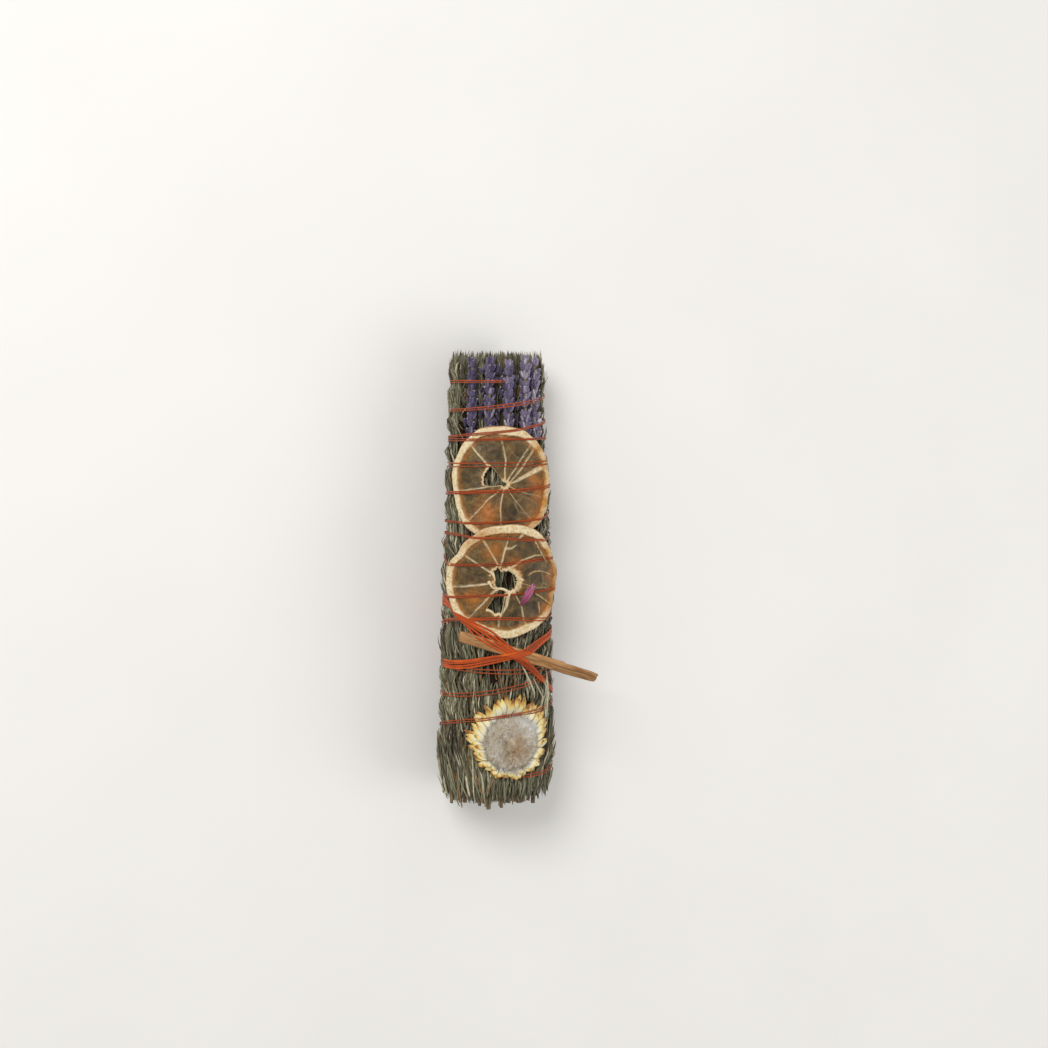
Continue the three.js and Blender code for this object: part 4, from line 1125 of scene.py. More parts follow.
    # How much of each tone a point has, 0 to 1
    innerEdge = bell(edge - rimWidth - 0.5, 0.8) + 0.7 * bell(fromHole - coreWidth - 0.3, 0.6)
    amber = patches(look["amber"]) * (0.9 + 0.8 * coarse) + 0.75 * innerEdge + 0.04 + 0.2 * medium
    nearRim = np.maximum(rim, membrane * (1 - smoothStep(4, 10, edge)))
    gold = byDirection(look["gold"]) * smoothStep(0.3, 1.2, edge)
    gold = gold * (0.85 + 0.5 * coarse) * (0.3 + 0.7 * nearRim)
    yellow = patches(look["yellow"]) + gold + 0.3 * smoothStep(0.1, 0.6, coarse) + 0.4 * innerEdge
    peel = np.where(onTop, 0.85 * (1 - smoothStep(0.1, 0.5, edge)), 1 - smoothStep(0.5, 1.6, edge))
    peel = np.maximum(peel, byDirection(look["brown"]) * rim * (0.9 + 0.6 * medium))
    dark = patches(look["dark"]) * (0.8 + 0.9 * coarse)
    setAttribute(made.data, "pith", pith)
    setAttribute(made.data, "peel", peel)
    for name, values in (("amber", amber), ("yellow", yellow), ("dark", dark)):
        setAttribute(made.data, name, np.clip(values, 0, 1))
    for finish in sliceMaterials:
        made.data.materials.append(finish)
    # The UV lays out juice cells of about 2 mm, turned a little from segment to segment
    corners = cornerVertices(made.data)
    cellUv = np.stack([
        x * 0.55 + np.cos(theta * 17) * 0.9, y * 0.55 + np.sin(theta * 17) * 0.9,
    ], -1)
    writeUv(made.data, cellUv[corners])
    facePith = pith[corners].reshape(-1, 4).mean(1)
    made.data.polygons.foreach_set("material_index", (facePith < 0.4).astype(np.int32))
    smoothFaces(made.data)
    makeOutward(made)
    if "strips" not in look:
        return made

    # Strips of torn pith cross the hole
    paths, widths = [], []
    for line in look["strips"]:
        t = np.linspace(0, len(line) - 1, 26)
        bent = np.stack([np.interp(t, np.arange(len(line)), places) for places in zip(*line)], -1)
        bent[1:-1] = (bent[:-2] + bent[1:-1] + bent[2:]) / 3
        paths.append(onSlice(piece, bent[:, 0], bent[:, 1], 1.5 + 0.35 * np.sin(t * 2.3)))
        widths.append(0.5 + 0.16 * np.sin(t * 3.1 + 1))
    strips = layTubes(paths, widths, 8, sliceMaterials[0], False, 0.45)
    for name, value in (("pith", 1), ("amber", 0), ("yellow", 0.1), ("peel", 0), ("dark", 0)):
        setAttribute(strips.data, name, value)
    return joinPieces([made, strips])


upperPiece = standFor(driedSlice(upperSlice, upperLook), "citrus_upper", "citrus", "citrus_slice_upper")
lowerPiece = standFor(driedSlice(lowerSlice, lowerLook), "citrus_lower", "citrus", "citrus_slice_lower")
print("citrus: two slices bend over the front")

# Wood stick

stickLook = {
    "section": [
        (-0.5, -0.32), (-0.3, -0.5), (0.36, -0.5), (0.5, -0.22), (0.44, 0.42), (0.1, 0.5), (-0.42, 0.4),
    ],
    "sides": 72,
    "rings": 170,
    "edgeWear": 22,  # higher is sharper
    "grainWidth": 0.5,
    "grainDepth": 0.16,
    "cracks": [  # place across, start and end along, width
        (-1.2, -8, 14, 0.5), (-0.2, 4, 26, 0.42), (-1.9, 12, 33, 0.35), (0.7, -22, -6, 0.3),
        (0.1, 22, 36, 0.4),
    ],
    "crackDepth": 0.5,
    "notch": (18, 0.55),  # place along, depth
}

# Hand-split pale fragrant wood: open straight grain, a painted highlight along its top edges and
# painted shade in its cracks, resin darkens it towards one end
splitWood, tree, shader = newMaterial("handSplitPaleWood", {"Roughness": 0.72, "Specular IOR Level": 0.3})
uvMap = addNode(tree, "UVMap", uv_map="UVMap")
stretch = addNode(tree, "Mapping", {"Vector": (uvMap, "UV"), "Scale": (1, 0.06, 1)})
grain = addNode(tree, "TexNoise", {
    "Vector": (stretch, "Vector"), "Scale": 1.7, "Detail": 6.0, "Roughness": 0.62,
})
woodColor = addNode(
    tree, "ValToRGB", {"Fac": (grain, "Fac")},
    stops=[(0.28, "#7B502E"), (0.44, "#A37347"), (0.58, "#B68A59"), (0.75, "#CAA478")],
)
shadeMark = addNode(tree, "Attribute", attribute_name="shade")
woodShade = addNode(tree, "MapRange", {"Value": (shadeMark, "Fac"), "To Min": 0.35, "To Max": 1.25})
woodShaded = addNode(
    tree, "VectorMath", {0: (woodColor, "Color"), "Scale": (woodShade, "Result")}, operation="SCALE",
)
grainBump = addNode(tree, "Bump", {"Height": (grain, "Fac"), "Strength": 0.7, "Distance": 0.3 * mm})
setInputs(shader, {"Base Color": (woodShaded, "Vector"), "Normal": (grainBump, "Normal")})


def splitStick():
    half = stick["length"] / 2
    places = np.linspace(-half, half, stickLook["rings"])
    made = growShape(stickLook["sides"], [(place, 1, 1) for place in places], pointed=False)
    points = readPoints(made.data)
    around = np.arctan2(points[:, 1], points[:, 0])
    along = points[:, 2]
    corners = np.array(stickLook["section"]) * (stick["width"], stick["thickness"])
    edges = np.roll(corners, -1, 0) - corners
    normals = unit(np.stack([edges[:, 1], -edges[:, 0]], -1))
    ray = np.stack([np.cos(around), np.sin(around)], -1)
    # Facets meet in slightly worn edges
    facing = np.maximum(ray @ normals.T / np.sum(normals * corners, 1), 1e-6)
    reach = np.sum(facing ** stickLook["edgeWear"], 1) ** (-1 / stickLook["edgeWear"])
    narrow = 1 - 0.14 * smoothStep(half - 5, half, np.abs(along)) + 0.025 * np.sin(along * 0.31 + 1)
    section = ray * column(reach * narrow)
    across, high = section.T
    # Grain, cracks and the notch cut into the sides, and darken or lighten them: painted shade in the
    # cracks, painted highlight on the top's edges
    grain = roughen(np.stack([across, high, along * 0.045], -1), stickLook["grainWidth"], 3)
    broad = roughen(np.stack([across, high, along * 0.1], -1), 2.2, 5)
    depth = -stickLook["grainDepth"] * np.abs(grain) + 0.2 * broad
    top = smoothStep(0, 0.8, high)
    shade = 0.62 + 0.12 * broad
    for place, start, end, width in stickLook["cracks"]:
        line = place + 0.25 * np.sin(along * 0.23 + place * 5)
        ends = smoothStep(start, start + 3, along) * (1 - smoothStep(end - 3, end, along))
        crack = bell(across - line, width) * ends * top
        depth = depth - stickLook["crackDepth"] * crack
        # Painted shade darkens the cracks
        shade = shade - 0.3 * crack
    place, size = stickLook["notch"]
    depth = depth - size * smoothStep(place, place + 1.2, along) * smoothStep(1.2, 2.4, across)
    # Painted highlight along both edges of the top; darker towards one end
    shade = shade + 0.28 * smoothStep(1.3, 2.3, across) * top - 0.16 * smoothStep(16, 34, along)
    shade = shade + 0.12 * (across < -2.5) * top
    section = section + ray * column(depth)
    across, high = section.T
    # Both ends are splintered and cut aslant
    splinter = 1.2 * roughen(np.stack([across, high, 0 * along], -1), 0.7, 9)
    atEnd = np.sign(along) * smoothStep(half - 1.5, half, np.abs(along))
    run = along - atEnd * (0.8 + splinter) + atEnd * across * 0.28
    direction = np.array([1, stick["slope"], 0])
    direction = direction / np.linalg.norm(direction)
    side = np.array([-direction[1], direction[0], 0])
    underside = topHeight(stick["centre"][1] - 4) + slicePart["gap"] + 0.1
    middle = np.array([*stick["centre"], underside + stick["thickness"] / 2])
    placed = middle + column(run) * direction + column(across) * side + column(high) * (0, 0, 1)
    writePoints(made.data, placed * mm)
    setAttribute(made.data, "shade", np.clip(shade, 0, 1))
    uv = np.stack([across + 3 * high, along], -1)
    writeUv(made.data, uv[cornerVertices(made.data)])
    made.data.materials.append(splitWood)
    sideFaces = [len(face.vertices) == 4 for face in made.data.polygons]
    made.data.polygons.foreach_set("use_smooth", np.array(sideFaces))
    makeOutward(made)
    return made


stickPiece = standFor(splitStick(), "split_wood_stick", "wood", "wood_stick")
print("wood: the split stick crosses the front")

# Strawflower

flowerLook = {
    "tipShift": 3.0,
    "headRadius": 12.4,
    "headHeight": 5.0,
    "rows": [  # count, root, widest and tip as (distance out, height), width
        (26, (12.4, -1.5), (17.0, 0.7), (21.2, 0.6), 3.2),
        (26, (12.4, -1.1), (16.9, 1.3), (20.7, 1.5), 3.1),
        (25, (12.4, -0.7), (16.6, 1.9), (19.9, 2.6), 3.0),
        (23, (12.4, -0.4), (16.0, 2.5), (18.4, 3.6), 2.8),
    ],
    "receptacle": [  # height, half width, half thickness of its rings
        (-5.2, 9, 9), (-4.6, 11.5, 11.5), (-3.4, 13.6, 13.6), (-1.4, 13.4, 13.4), (-0.9, 12.2, 12.2),
    ],
    "tufts": 380,
    "edgeTufts": 120,
    "hairsPerTuft": 14,
}

# Strawflower bract: dry papery scale, cream at its base, yellow in the middle, golden brown tip
papery, tree, shader = newMaterial("paperyStrawflowerBract", {"Roughness": 0.42, "Specular IOR Level": 0.5})
uvMap = addNode(tree, "UVMap", uv_map="UVMap")
place = addNode(tree, "SeparateXYZ", {"Vector": (uvMap, "UV")})
tone = addNode(tree, "Attribute", attribute_name="tone")
shift = addNode(tree, "Math", {0: (place, "Y"), 1: (tone, "Fac")}, operation="ADD")
bractColor = addNode(
    tree, "ValToRGB", {"Fac": (shift, "Value")},
    stops=[
        (0.0, "#E4DAB2"), (0.3, "#F8F3DC"), (0.55, "#F6EDC4"), (0.74, "#EFD98E"), (0.88, "#D6A850"),
        (1.0, "#925E28"),
    ],
)
stretch = addNode(tree, "Mapping", {"Vector": (uvMap, "UV"), "Scale": (22, 1.2, 1)})
veins = addNode(tree, "TexNoise", {"Vector": (stretch, "Vector"), "Scale": 1.0, "Detail": 4.0})
veinTone = addNode(tree, "MapRange", {
    "Value": (veins, "Fac"), "From Min": 0.3, "From Max": 0.7, "To Min": 0.78, "To Max": 1.12,
})
bractShaded = addNode(
    tree, "VectorMath", {0: (bractColor, "Color"), "Scale": (veinTone, "Result")}, operation="SCALE",
)
veinBump = addNode(tree, "Bump", {"Height": (veins, "Fac"), "Strength": 0.5, "Distance": 0.15 * mm})
setInputs(shader, {"Base Color": (bractShaded, "Vector"), "Normal": (veinBump, "Normal")})

# Pappus: the seed head's silky hairs, grey-beige, whitish on one side from a painted highlight,
# warm brown in the middle
pappus, tree, shader = newMaterial(
    "silkySeedPappus",
    {"Roughness": 0.8, "Specular IOR Level": 0.25, "Sheen Weight": 0.3, "Sheen Roughness": 0.5},
)
tone = addNode(tree, "Attribute", attribute_name="tone")
warm = addNode(tree, "Attribute", attribute_name="warm")
hairColor = addNode(
    tree, "ValToRGB", {"Fac": (tone, "Fac")},
    stops=[(0.0, "#B5A486"), (0.28, "#DCCDB0"), (0.52, "#EFE6D2"), (0.78, "#FAF6EC"), (1.0, "#FFFFFF")],
)
warmMix = addNode(
    tree, "Mix", {"Factor": (warm, "Fac"), 6: (hairColor, "Color"), 7: hexColor("#E2C6A2")},
    data_type="RGBA", blend_type="MULTIPLY",
)
setInputs(shader, {"Base Color": (warmMix, 2)})


def flowerGround(x, y):
    share = np.minimum(np.abs(x) / bundleRadius(y), 0.98)
    return axisHeight(y) + bundle["flattening"] * bundleRadius(y) * np.sqrt(1 - share * share)


receptacleTop = topHeight(flower["centre"][1]) - flower["drop"]
bractTemplate = takeTemplate(growShape(8, [
    (0, 0.55, 0.8), (0.18, 0.8, 0.9), (0.4, 1, 1), (0.6, 0.96, 1), (0.78, 0.72, 0.9), (0.92, 0.38, 0.7),
    (1, 0.1, 0.4),
]))
bractUv = bractTemplate["points"][:, [0, 2]] * (0.5, 1) + (0.5, 0)


def bractHeight(x, y, v, row):
    # A bract leaves the receptacle level, then follows the bundle's round back
    (rootOut, rootHigh), (wideOut, wideHigh), (tipOut, tipHigh) = row[1:4]
    split = (wideOut - rootOut) / (tipOut - rootOut)
    beyond = wideHigh + (tipHigh - wideHigh) * (v - split) / (1 - split)
    lift = np.where(v < split, wideHigh * v / split, beyond) - 0.2 * v
    # The thread presses the bracts that it crosses
    line = windingPlace(turn + np.arctan2(x, axisHeight(y)))
    lift = lift * (0.5 + 0.5 * smoothStep(0.6, 3.6, np.abs(y - line)))
    blend = smoothStep(0.1, 0.5, v)
    return (receptacleTop + rootHigh) * (1 - blend) + (flowerGround(x, y) + lift) * blend


def layBracts():
    rng = np.random.default_rng(57)
    cx, cy = flower["centre"]
    u, w, v = bractTemplate["points"].T[:, None]
    placed, tones = [], []
    for number, row in enumerate(flowerLook["rows"]):
        count, (rootOut, _), _, (tipOut, _), width = row
        around = (np.arange(count) + number * 0.37) / count * turn + rng.uniform(-0.05, 0.05, count)
        reach = column(rng.uniform(0.93, 1.02, count))
        wide = width * column(rng.uniform(0.85, 1.15, count))
        curl = column(rng.uniform(-0.5, 0.7, count))
        heading = column(around) + column(rng.normal(0, 0.06, count)) * v
        distance = rootOut + (tipOut * reach - rootOut) * v
        across, ahead = np.cos(heading), np.sin(heading)
        sideways = u * wide / 2
        x = cx + distance * across - sideways * ahead
        y = cy + distance * ahead + sideways * across + flowerLook["tipShift"] * v
        cup = (u * u) * 0.45 * (1 - v * 0.4) + curl * v * v * (v > 0.5)
        placed.append(np.stack([x, y, bractHeight(x, y, v, row) + cup + w * 0.3], -1))
        tones.append(rng.normal(0.0, 0.09, count) + 0.02 * number)
    tones = np.concatenate(tones)
    bracts = joinCopies(bractTemplate, np.concatenate(placed), papery, {"tone": tones}, bractUv)
    receptacle = growShape(40, flowerLook["receptacle"], pointed=False)
    points = readPoints(receptacle.data)
    writePoints(receptacle.data, (points + (cx, cy, receptacleTop)) * mm)
    receptacle.data.materials.append(papery)
    receptacle.data.uv_layers.new(name="UVMap")
    setAttribute(receptacle.data, "tone", 0.2)
    return joinPieces([bracts, receptacle])


def fluffyHead():
    rng = np.random.default_rng(71)
    cx, cy = flower["centre"]
    base = receptacleTop + slicePart["gap"]
    radius, rise = flowerLook["headRadius"], flowerLook["headHeight"]
    # A lumpy dome carries the hairs
    selectNothing()
    bpy.ops.mesh.primitive_uv_sphere_add(segments=64, ring_count=40, radius=1)
    dome = bpy.context.object
    x, y, z = readPoints(dome.data).T
    lump = roughen(np.stack([x, y, z], -1), 0.22, 4)
    height = np.where(z > 0, z * (rise - 1.3) * (0.85 + 0.25 * lump), z * 0.01)
    wide = (radius - 1.2) * (1 + 0.04 * lump * (z > 0))
    placed = np.stack([cx + x * wide, cy + y * wide, base + height + 0.02], -1)
    writePoints(dome.data, placed * mm)
    dome.data.materials.append(pappus)
    smoothFaces(dome.data)
    setAttribute(dome.data, "tone", np.clip(0.4 + 0.25 * lump, 0, 1))
    setAttribute(dome.data, "warm", 0.5 - 0.4 * np.hypot(x, y))

    # Tufts in a sunflower's order, with more over the edge, so no rim shows beside the bracts
    hair = takeTemplate(growShape(3, [(0, 1, 1), (0.45, 0.8, 0.8), (0.8, 0.6, 0.6), (1, 0.2, 0.2)]))
    u, w, v = hair["points"].T[:, None]
    count, edgeCount = flowerLook["tufts"], flowerLook["edgeTufts"]
    order = np.arange(count) + 0.5
    out = np.append(np.sqrt(order / count), rng.uniform(0.93, 1.02, edgeCount))
    spin = np.append(order * goldenTurn, np.arange(edgeCount) / edgeCount * turn)
    count = count + edgeCount
    tuftX = out * np.cos(spin) + rng.normal(0, 0.03, count)
    tuftY = out * np.sin(spin) + rng.normal(0, 0.03, count)
    out = np.minimum(np.hypot(tuftX, tuftY), 1.02)
    spin = np.arctan2(tuftY, tuftX)
    # Hairs lie over like brushed wool: each tuft has its own direction, lean and tone
    brush = spin + rng.normal(0, 1, count) * (0.8 + 2.4 * (1 - smoothStep(0.05, 0.35, out)))
    leanBy = np.clip(0.6 + 0.7 * out + rng.normal(0, 0.2, count), 0.1, 1.45)
    tuftTone = np.clip(0.56 + 0.22 * rng.normal(0, 1, count), 0, 1)
    # Painted highlight: tufts on one side of the head are whiter
    highlightTuft = bell(np.hypot(tuftX - 0.6, tuftY - 0.58), 0.36)
    tuftTone = tuftTone + 0.55 * highlightTuft
    tuftWarm = bell(np.hypot(tuftX - 0.15, tuftY + 0.15), 0.5) + rng.normal(0, 0.2, count)
    tuftWarm = np.clip(tuftWarm, 0, 1)

    pick = np.repeat(np.arange(count), flowerLook["hairsPerTuft"])
    total = len(pick)
    rootOut = out[pick] * (radius - 1.1)
    rootX = rootOut * np.cos(spin[pick]) + rng.normal(0, 0.32, total)
    rootY = rootOut * np.sin(spin[pick]) + rng.normal(0, 0.32, total)
    share = np.minimum(np.hypot(rootX, rootY) / (radius - 1.0), 0.995)
    rootZ = (rise - 1.9) * np.sqrt(1 - share ** 2)
    lean = leanBy[pick] + rng.normal(0, 0.28, total)
    outwards = spin[pick] + rng.normal(0, 0.5, total)
    turned = brush[pick] + rng.normal(0, 0.45, total)
    turned = np.where(smoothStep(0.86, 0.96, out[pick]) > 0.5, outwards, turned)
    # Long wisps lie over the shorter wool, most of them on the side with the painted highlight
    wisp = rng.uniform(0, 1, count) < 0.15 + 0.6 * highlightTuft
    length = rng.uniform(1.6, 3.4, total) * np.where(wisp[pick], 1.7, 1)
    tilt = column(lean) + column(rng.normal(0.25, 0.35, total)) * v
    thick = column(rng.uniform(0.08, 0.14, total))
    forward = column(length) * v * np.sin(tilt)
    cos, sin = np.cos(column(turned)), np.sin(column(turned))
    x = column(rootX) + forward * cos - u * thick * sin
    y = column(rootY) + forward * sin + u * thick * cos
    z = column(rootZ) + column(length) * v * np.cos(tilt) + w * thick
    # The wool's edge is ragged, and on the side with the painted highlight wisps spill over the bracts
    far = np.maximum(np.hypot(x, y), 0.1)
    ring = np.stack([x / far, y / far, 0 * x], -1).reshape(-1, 3)
    spill = np.where(highlightTuft > 0.2, rng.uniform(0.5, 5.5, count), rng.uniform(-0.6, 0.9, count))
    ragged = column(spill[pick] + rng.uniform(-1.5, 1.5, total))
    reach = radius + 1.5 + 1.4 * roughen(ring, 0.35, 12).reshape(x.shape) + ragged
    hold = np.minimum(1, reach / far)
    x, y, far = x * hold, y * hold, far * hold
    # Over the bracts the hairs droop onto them
    topRow = flowerLook["rows"][-1]
    inner, outer = topRow[1][0], topRow[3][0] + flowerLook["tipShift"] * y / np.maximum(far, 0.1)
    share = np.clip((far - inner) / (outer - inner), 0, 1)
    over = bractHeight(cx + x, cy + y, share, topRow) + 0.35 + 0.45 * smoothStep(0, 0.25, share) - base
    lowest = np.where(far > radius - 1.1, over + rng.uniform(0, 0.3, (total, 1)), 0.02)
    z = z - 1.8 * smoothStep(radius - 2, radius + 1, far)
    placed = np.stack([cx + x, cy + y, base + np.clip(z, lowest, rise + 0.5)], -1)
    tone = np.clip(tuftTone[pick] + rng.normal(0, 0.1, total), 0, 1)
    fluff = joinCopies(hair, placed, pappus, {"tone": tone, "warm": tuftWarm[pick]})
    return joinPieces([dome, fluff])


bractPiece = standFor(layBracts(), "papery_bracts", "bract", "strawflower_bracts")
standFor(fluffyHead(), "fluffy_seed_head", "fluff", "strawflower_head")
print("flower: bracts and seed head")

# Petal and dry stalks on the lower slice

petal = {"low": (2.4, -10.3), "high": (7.8, -0.9), "width": 3.4, "overThread": 1.5, "thickness": 0.35}
stalks = [  # three places on it, radius, lift
    ([(8.5, 20), (11.5, 15), (15.7, 8.9)], 0.4, 2.3),
    ([(5.6, 3.4), (10.8, 5.3), (17.9, 3.1)], 0.35, 0.9),
    ([(9.6, -5.3), (14, -8.2), (18.6, -11.4)], 0.4, 0.9),
    ([(11.4, -9.7), (11.9, -12.4), (12.5, -15.5)], 0.35, 0.9),
]

# Dried petal: thin, streaked along its veins, magenta gone purple at the edges
petalSkin, tree, shader = newMaterial("driedMagentaPetal", {"Roughness": 0.6, "Specular IOR Level": 0.3})
uvMap = addNode(tree, "UVMap", uv_map="UVMap")
stretch = addNode(tree, "Mapping", {"Vector": (uvMap, "UV"), "Scale": (6, 1.6, 1)})
veins = addNode(tree, "TexNoise", {"Vector": (stretch, "Vector"), "Scale": 1.0, "Detail": 5.0})
place = addNode(tree, "SeparateXYZ", {"Vector": (uvMap, "UV")})
veinTone = addNode(
    tree, "Math", {0: (place, "Y"), 1: 0.22, 2: (veins, "Fac")}, operation="MULTIPLY_ADD",
)
petalColor = addNode(
    tree, "ValToRGB", {"Fac": (veinTone, "Value")},
    stops=[(0.38, "#58233A"), (0.52, "#883C5E"), (0.66, "#A65676"), (0.84, "#D6A2B4")],
)
veinBump = addNode(tree, "Bump", {"Height": (veins, "Fac"), "Strength": 0.5, "Distance": 0.2 * mm})
setInputs(shader, {"Base Color": (petalColor, "Color"), "Normal": (veinBump, "Normal")})

# Dry stalk: straw-coloured, paler and darker in lengths
dryStraw, tree, shader = newMaterial("dryGrassStalk", {"Roughness": 0.6, "Specular IOR Level": 0.35})
coordinates = addNode(tree, "TexCoord")
lengths = addNode(tree, "TexNoise", {
    "Vector": (coordinates, "Object"), "Scale": perMetre(1.5), "Detail": 4.0,
})
strawColor = addNode(
    tree, "ValToRGB", {"Fac": (lengths, "Fac")},
    stops=[(0.35, "#8A6A42"), (0.55, "#BFA274"), (0.75, "#DCC9A2")],
)
setInputs(shader, {"Base Color": (strawColor, "Color")})


def overLowerSlice(x, y, height):
    across = lowerSlice["bendRadius"] * np.arcsin(x / (lowerSlice["bendRadius"] + height))
    return onSlice(lowerSlice, across - lowerSlice["centre"][0], y - lowerSlice["centre"][1], height)


def crumpledPetal():
    selectNothing()
    bpy.ops.mesh.primitive_grid_add(x_subdivisions=14, y_subdivisions=30, size=1)
    made = bpy.context.object
    points = readPoints(made.data)
    u, t = points[:, 0] * 2, points[:, 1] + 0.5
    (x0, y0), (x1, y1) = petal["low"], petal["high"]
    length = math.hypot(x1 - x0, y1 - y0)
    wide = petal["width"] * 1.1 * np.sin(math.pi * (0.05 + 0.88 * t)) ** 0.65
    ragged = 1 + 0.12 * roughen(np.stack([np.sign(u), t, 0 * t], -1), 0.12, 2) * np.abs(u)
    shift = u * wide / 2 * ragged / length
    # Both ends are frayed along the veins
    t = t + 0.06 * np.sin(u * 8 + 1) * np.abs(2 * t - 1) ** 3
    folds = roughen(np.stack([u * 1.6, t * 2.4, 0 * t], -1), 0.9, 6)
    x = x0 + (x1 - x0) * t - (y1 - y0) * shift
    y = y0 + (y1 - y0) * t + (x1 - x0) * shift
    # Its low end rests on the slice, the rest leans on the thread underneath
    height = slicePart["membrane"] + slicePart["gap"] + 0.35 + petal["overThread"] * smoothStep(0, 0.3, t)
    height = height + 0.5 * t * t + 0.5 * u * u + 0.6 * np.abs(folds)
    writePoints(made.data, overLowerSlice(x, y, height) * mm)
    made.data.uv_layers[0].name = "UVMap"
    made.data.materials.append(petalSkin)
    smoothFaces(made.data)
    thicken = made.modifiers.new("thickness", "SOLIDIFY")
    thicken.thickness = petal["thickness"] * mm
    thicken.offset = 0
    bpy.ops.object.modifier_apply(modifier="thickness")
    makeOutward(made)
    return made


def layStalk(places, radius, lift):
    base = slicePart["membrane"] + slicePart["gap"] + radius + 0.15
    t = np.linspace(0, 1, 22)
    weights = np.stack([(1 - t) * (1 - 2 * t), 4 * t * (1 - t), t * (2 * t - 1)], -1)
    x, y = (weights @ np.array(places, float)).T
    rise = lift * 0.4 * (1 - 0.8 * smoothStep(0.5, 1, t))
    path = overLowerSlice(x, y, base + rise) + 0.05 * column(np.sin(t * 40))
    thick = radius * (1.05 - 0.45 * t) * (1 + 0.12 * (np.arange(22) % 7 == 3))  # joints every 7th ring
    return layTubes([path], [thick], 8, dryStraw)


standFor(crumpledPetal(), "magenta_petal", "petal", "petal")
stalkPieces = [
    standFor(layStalk(*entry), f"straw_stalk_{number}", "stalk", f"dry_stalk_{number}")
    for number, entry in enumerate(stalks, 1)
]
print("petal and stalks lie on the lower slice")

# Binding thread

threadLook = {
    "samples": 96,  # places round each turn
    "strand": 0.27,
    "flat": 0.62,
    "sunk": 0.45,
    # How far apart the pair of strands lies at each crossing
    "spread": [0.5, 0.5, 0.75, 0.85, 0.6, 0.28, 0.45, 0.32, 0.28, 0.6, 0.8, 0.28, 0.3, 0.5, 0.35],
    "thirdStrand": [(3.6, 4.4), (8.7, 9.35)],  # from and to which turn
    "tightening": 1500,  # rounds until the straight stretches have settled
    "tieSamples": 180,
    "tieStrand": 0.5,
    "tieFlat": 0.36,
    # Angles from the front line, the band's half width there, strands, lift where it crosses over
    "tieBands": [
        ([-3.2, -1.1, -0.6, -0.38, 0.1, 0.3, 0.8, 3.2], [1.6, 1.8, 2.3, 3.3, 1.5, 0.9, 0.8, 1.6], 5, 0.0),
        ([-3.2, -0.9, -0.3, 0.15, 0.5, 1.1, 3.2], [1.2, 1.7, 1.6, 1.1, 1.3, 1.5, 1.2], 4, 0.5),
    ],
}

# Embroidery floss: loosely twisted cotton with a soft sheen, rust-orange; fresh orange on the tie
flossCotton, tree, shader = newMaterial(
    "twistedCottonFloss",
    {"Roughness": 0.6, "Specular IOR Level": 0.3, "Sheen Weight": 0.08, "Sheen Roughness": 0.4},
)
uvMap = addNode(tree, "UVMap", uv_map="UVMap")
place = addNode(tree, "SeparateXYZ", {"Vector": (uvMap, "UV")})
twist = addNode(tree, "Math", {0: (place, "Y"), 1: 0.55, 2: (place, "X")}, operation="MULTIPLY_ADD")
plies = addNode(tree, "Math", {0: (twist, "Value"), 1: 0.25}, operation="PINGPONG")
tone = addNode(tree, "Attribute", attribute_name="tone")
coordinates = addNode(tree, "TexCoord")
fading = addNode(tree, "TexNoise", {
    "Vector": (coordinates, "Object"), "Scale": perMetre(7), "Detail": 4.0,
})
fade = addNode(tree, "MapRange", {
    "Value": (fading, "Fac"), "From Min": 0.3, "From Max": 0.7, "To Min": -0.16, "To Max": 0.16,
})
flossTone = addNode(tree, "Math", {0: (tone, "Fac"), 1: (fade, "Result")}, operation="ADD")
flossColor = addNode(
    tree, "ValToRGB", {"Fac": (flossTone, "Value")},
    stops=[(0.0, "#5E2612"), (0.3, "#8E3F1C"), (0.55, "#AE4B1A"), (0.8, "#C44A0C"), (1.0, "#E06A1C")],
)
plyTone = addNode(tree, "MapRange", {
    "Value": (plies, "Value"), "From Max": 0.25, "To Min": 0.72, "To Max": 1.15,
})
flossShaded = addNode(
    tree, "VectorMath", {0: (flossColor, "Color"), "Scale": (plyTone, "Result")}, operation="SCALE",
)
plyBump = addNode(tree, "Bump", {"Height": (plies, "Value"), "Strength": 0.6, "Distance": 0.15 * mm})
setInputs(shader, {"Base Color": (flossShaded, "Vector"), "Normal": (plyBump, "Normal")})


def surfaceTree(pieces):
    # What the thread may lie on; the stick counts only where it lies on the bundle
    points, faces = [], []
    for piece in pieces:
        first = len(points)
        points.extend(tuple(point) for point in readPoints(piece.data))
        halfSpan = (21 if piece is stickPiece else 60) * mm
        faces.extend(
            [first + vertex for vertex in face.vertices]
            for face in piece.data.polygons if abs(face.center.x) < halfSpan
        )
    return BVHTree.FromPolygons(points, faces)


def tautRadius(angle, y, surfaces, closed):
    # Drawn tight over what it binds: rays find the surface, then straight stretches span the dips
    outer = 45.0
    start, middle = onBundle(angle, y, outer) * mm, onBundle(angle, y, 0.0 * angle) * mm
    radius = bundleRadius(y) - threadLook["sunk"]
    for i in range(len(angle)):
        ray = Vector(middle[i] - start[i])
        place = surfaces.ray_cast(Vector(start[i]), ray)[0]
        if place is not None:
            hit = outer * (1 - (place - Vector(start[i])).length / ray.length)
            radius[i] = max(radius[i], hit + 0.12)
    stretch = 2 * math.cos(angle[1] - angle[0])
    for _ in range(threadLook["tightening"]):
        before, after = np.roll(radius, 1), np.roll(radius, -1)
        chord = stretch / (1 / before + 1 / after)
        if not closed:
            chord[0] = chord[-1] = 0
        radius = np.maximum(radius, chord)
    return radius


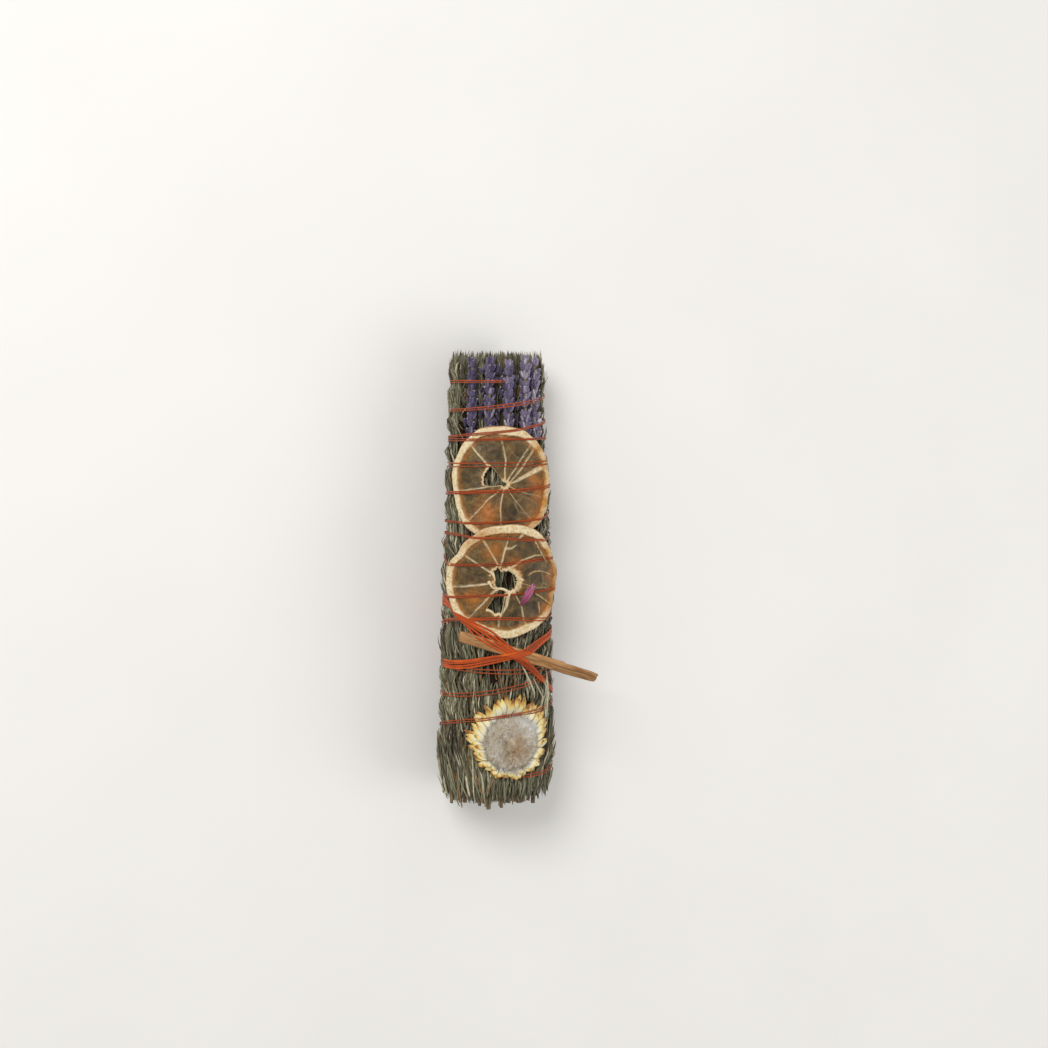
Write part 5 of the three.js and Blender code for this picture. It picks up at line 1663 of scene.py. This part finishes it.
def windingFloss(surfaces):
    rng = np.random.default_rng(5)
    turns = len(winding) - 1
    angle = np.linspace(0, turns * turn, turns * threadLook["samples"] + 1)
    spread = np.interp(angle / turn, np.arange(len(winding)), threadLook["spread"])
    paths, radii, tones = [], [], []
    for strand, side in enumerate((-1, 1)):
        wander = 0.22 * np.sin(angle * 0.93 + strand * 2.1) + 0.14 * np.sin(angle * 2.7 + strand)
        y = windingPlace(angle) + side * spread * (1 + wander) + 0.1 * wander
        radius = tautRadius(angle, y, surfaces, False) + threadLook["strand"] * threadLook["flat"]
        # Both ends are tucked in between the needles
        fromEnd = np.minimum(angle, angle[-1] - angle)
        radius = radius - 5 * (1 - smoothStep(0, 0.3, fromEnd))
        paths.append(onBundle(angle, y, radius))
        radii.append(threadLook["strand"] * (1 + 0.1 * np.sin(angle * 1.7 + strand * 3)))
        tones.append(0.42 + 0.1 * strand)
    # A third strand runs with the pair where the floss was doubled back
    for first, last in threadLook["thirdStrand"]:
        part = angle[(angle > first * turn) & (angle < last * turn)]
        y = windingPlace(part) + 0.5 * np.sin(part * 0.9)
        radius = tautRadius(part, y, surfaces, False) + threadLook["strand"]
        paths.append(onBundle(part, y, radius + 0.15))
        radii.append(threadLook["strand"] * 0.9)
        tones.append(0.6)
    return layTubes(paths, radii, 6, flossCotton, False, threadLook["flat"], tones)


def tieFloss(surfaces):
    angle = np.arange(threadLook["tieSamples"]) / threadLook["tieSamples"] * turn - math.pi
    paths, radii, tones = [], [], []
    for loop, (places, halfWidths, strands, over) in zip(tieLoops, threadLook["tieBands"]):
        half = np.interp(angle, places, halfWidths)
        middle = loop["place"] + loop["swing"] * np.sin(angle)
        brightest, darker = (0.86, 0.12) if loop["swing"] > 0 else (0.82, 0.14)
        for strand in range(strands):
            share = strand / (strands - 1) * 2 - 1
            y = middle + share * half + 0.12 * np.sin(angle * 3 + strand * 2)
            lift = over * bell(angle - 0.05, 0.35) + 0.12 * (strand % 2)
            lift = lift + threadLook["tieStrand"] * threadLook["tieFlat"]
            paths.append(onBundle(angle, y, tautRadius(angle, y, surfaces, True) + lift))
            radii.append(threadLook["tieStrand"] * (1 + 0.15 * np.sin(angle * 2 + strand)))
            tones.append(brightest - darker * (strand % 3))
    return layTubes(paths, radii, 8, flossCotton, True, threadLook["tieFlat"], tones)


bound = [upperPiece, lowerPiece, bractPiece, *stalkPieces]
standFor(windingFloss(surfaceTree(bound)), "winding_floss", "thread", "binding_thread")
standFor(tieFloss(surfaceTree([*bound, stickPiece])), "tie_floss", "thread", "binding_thread")
print("thread: the winding and the cross tie are drawn tight")
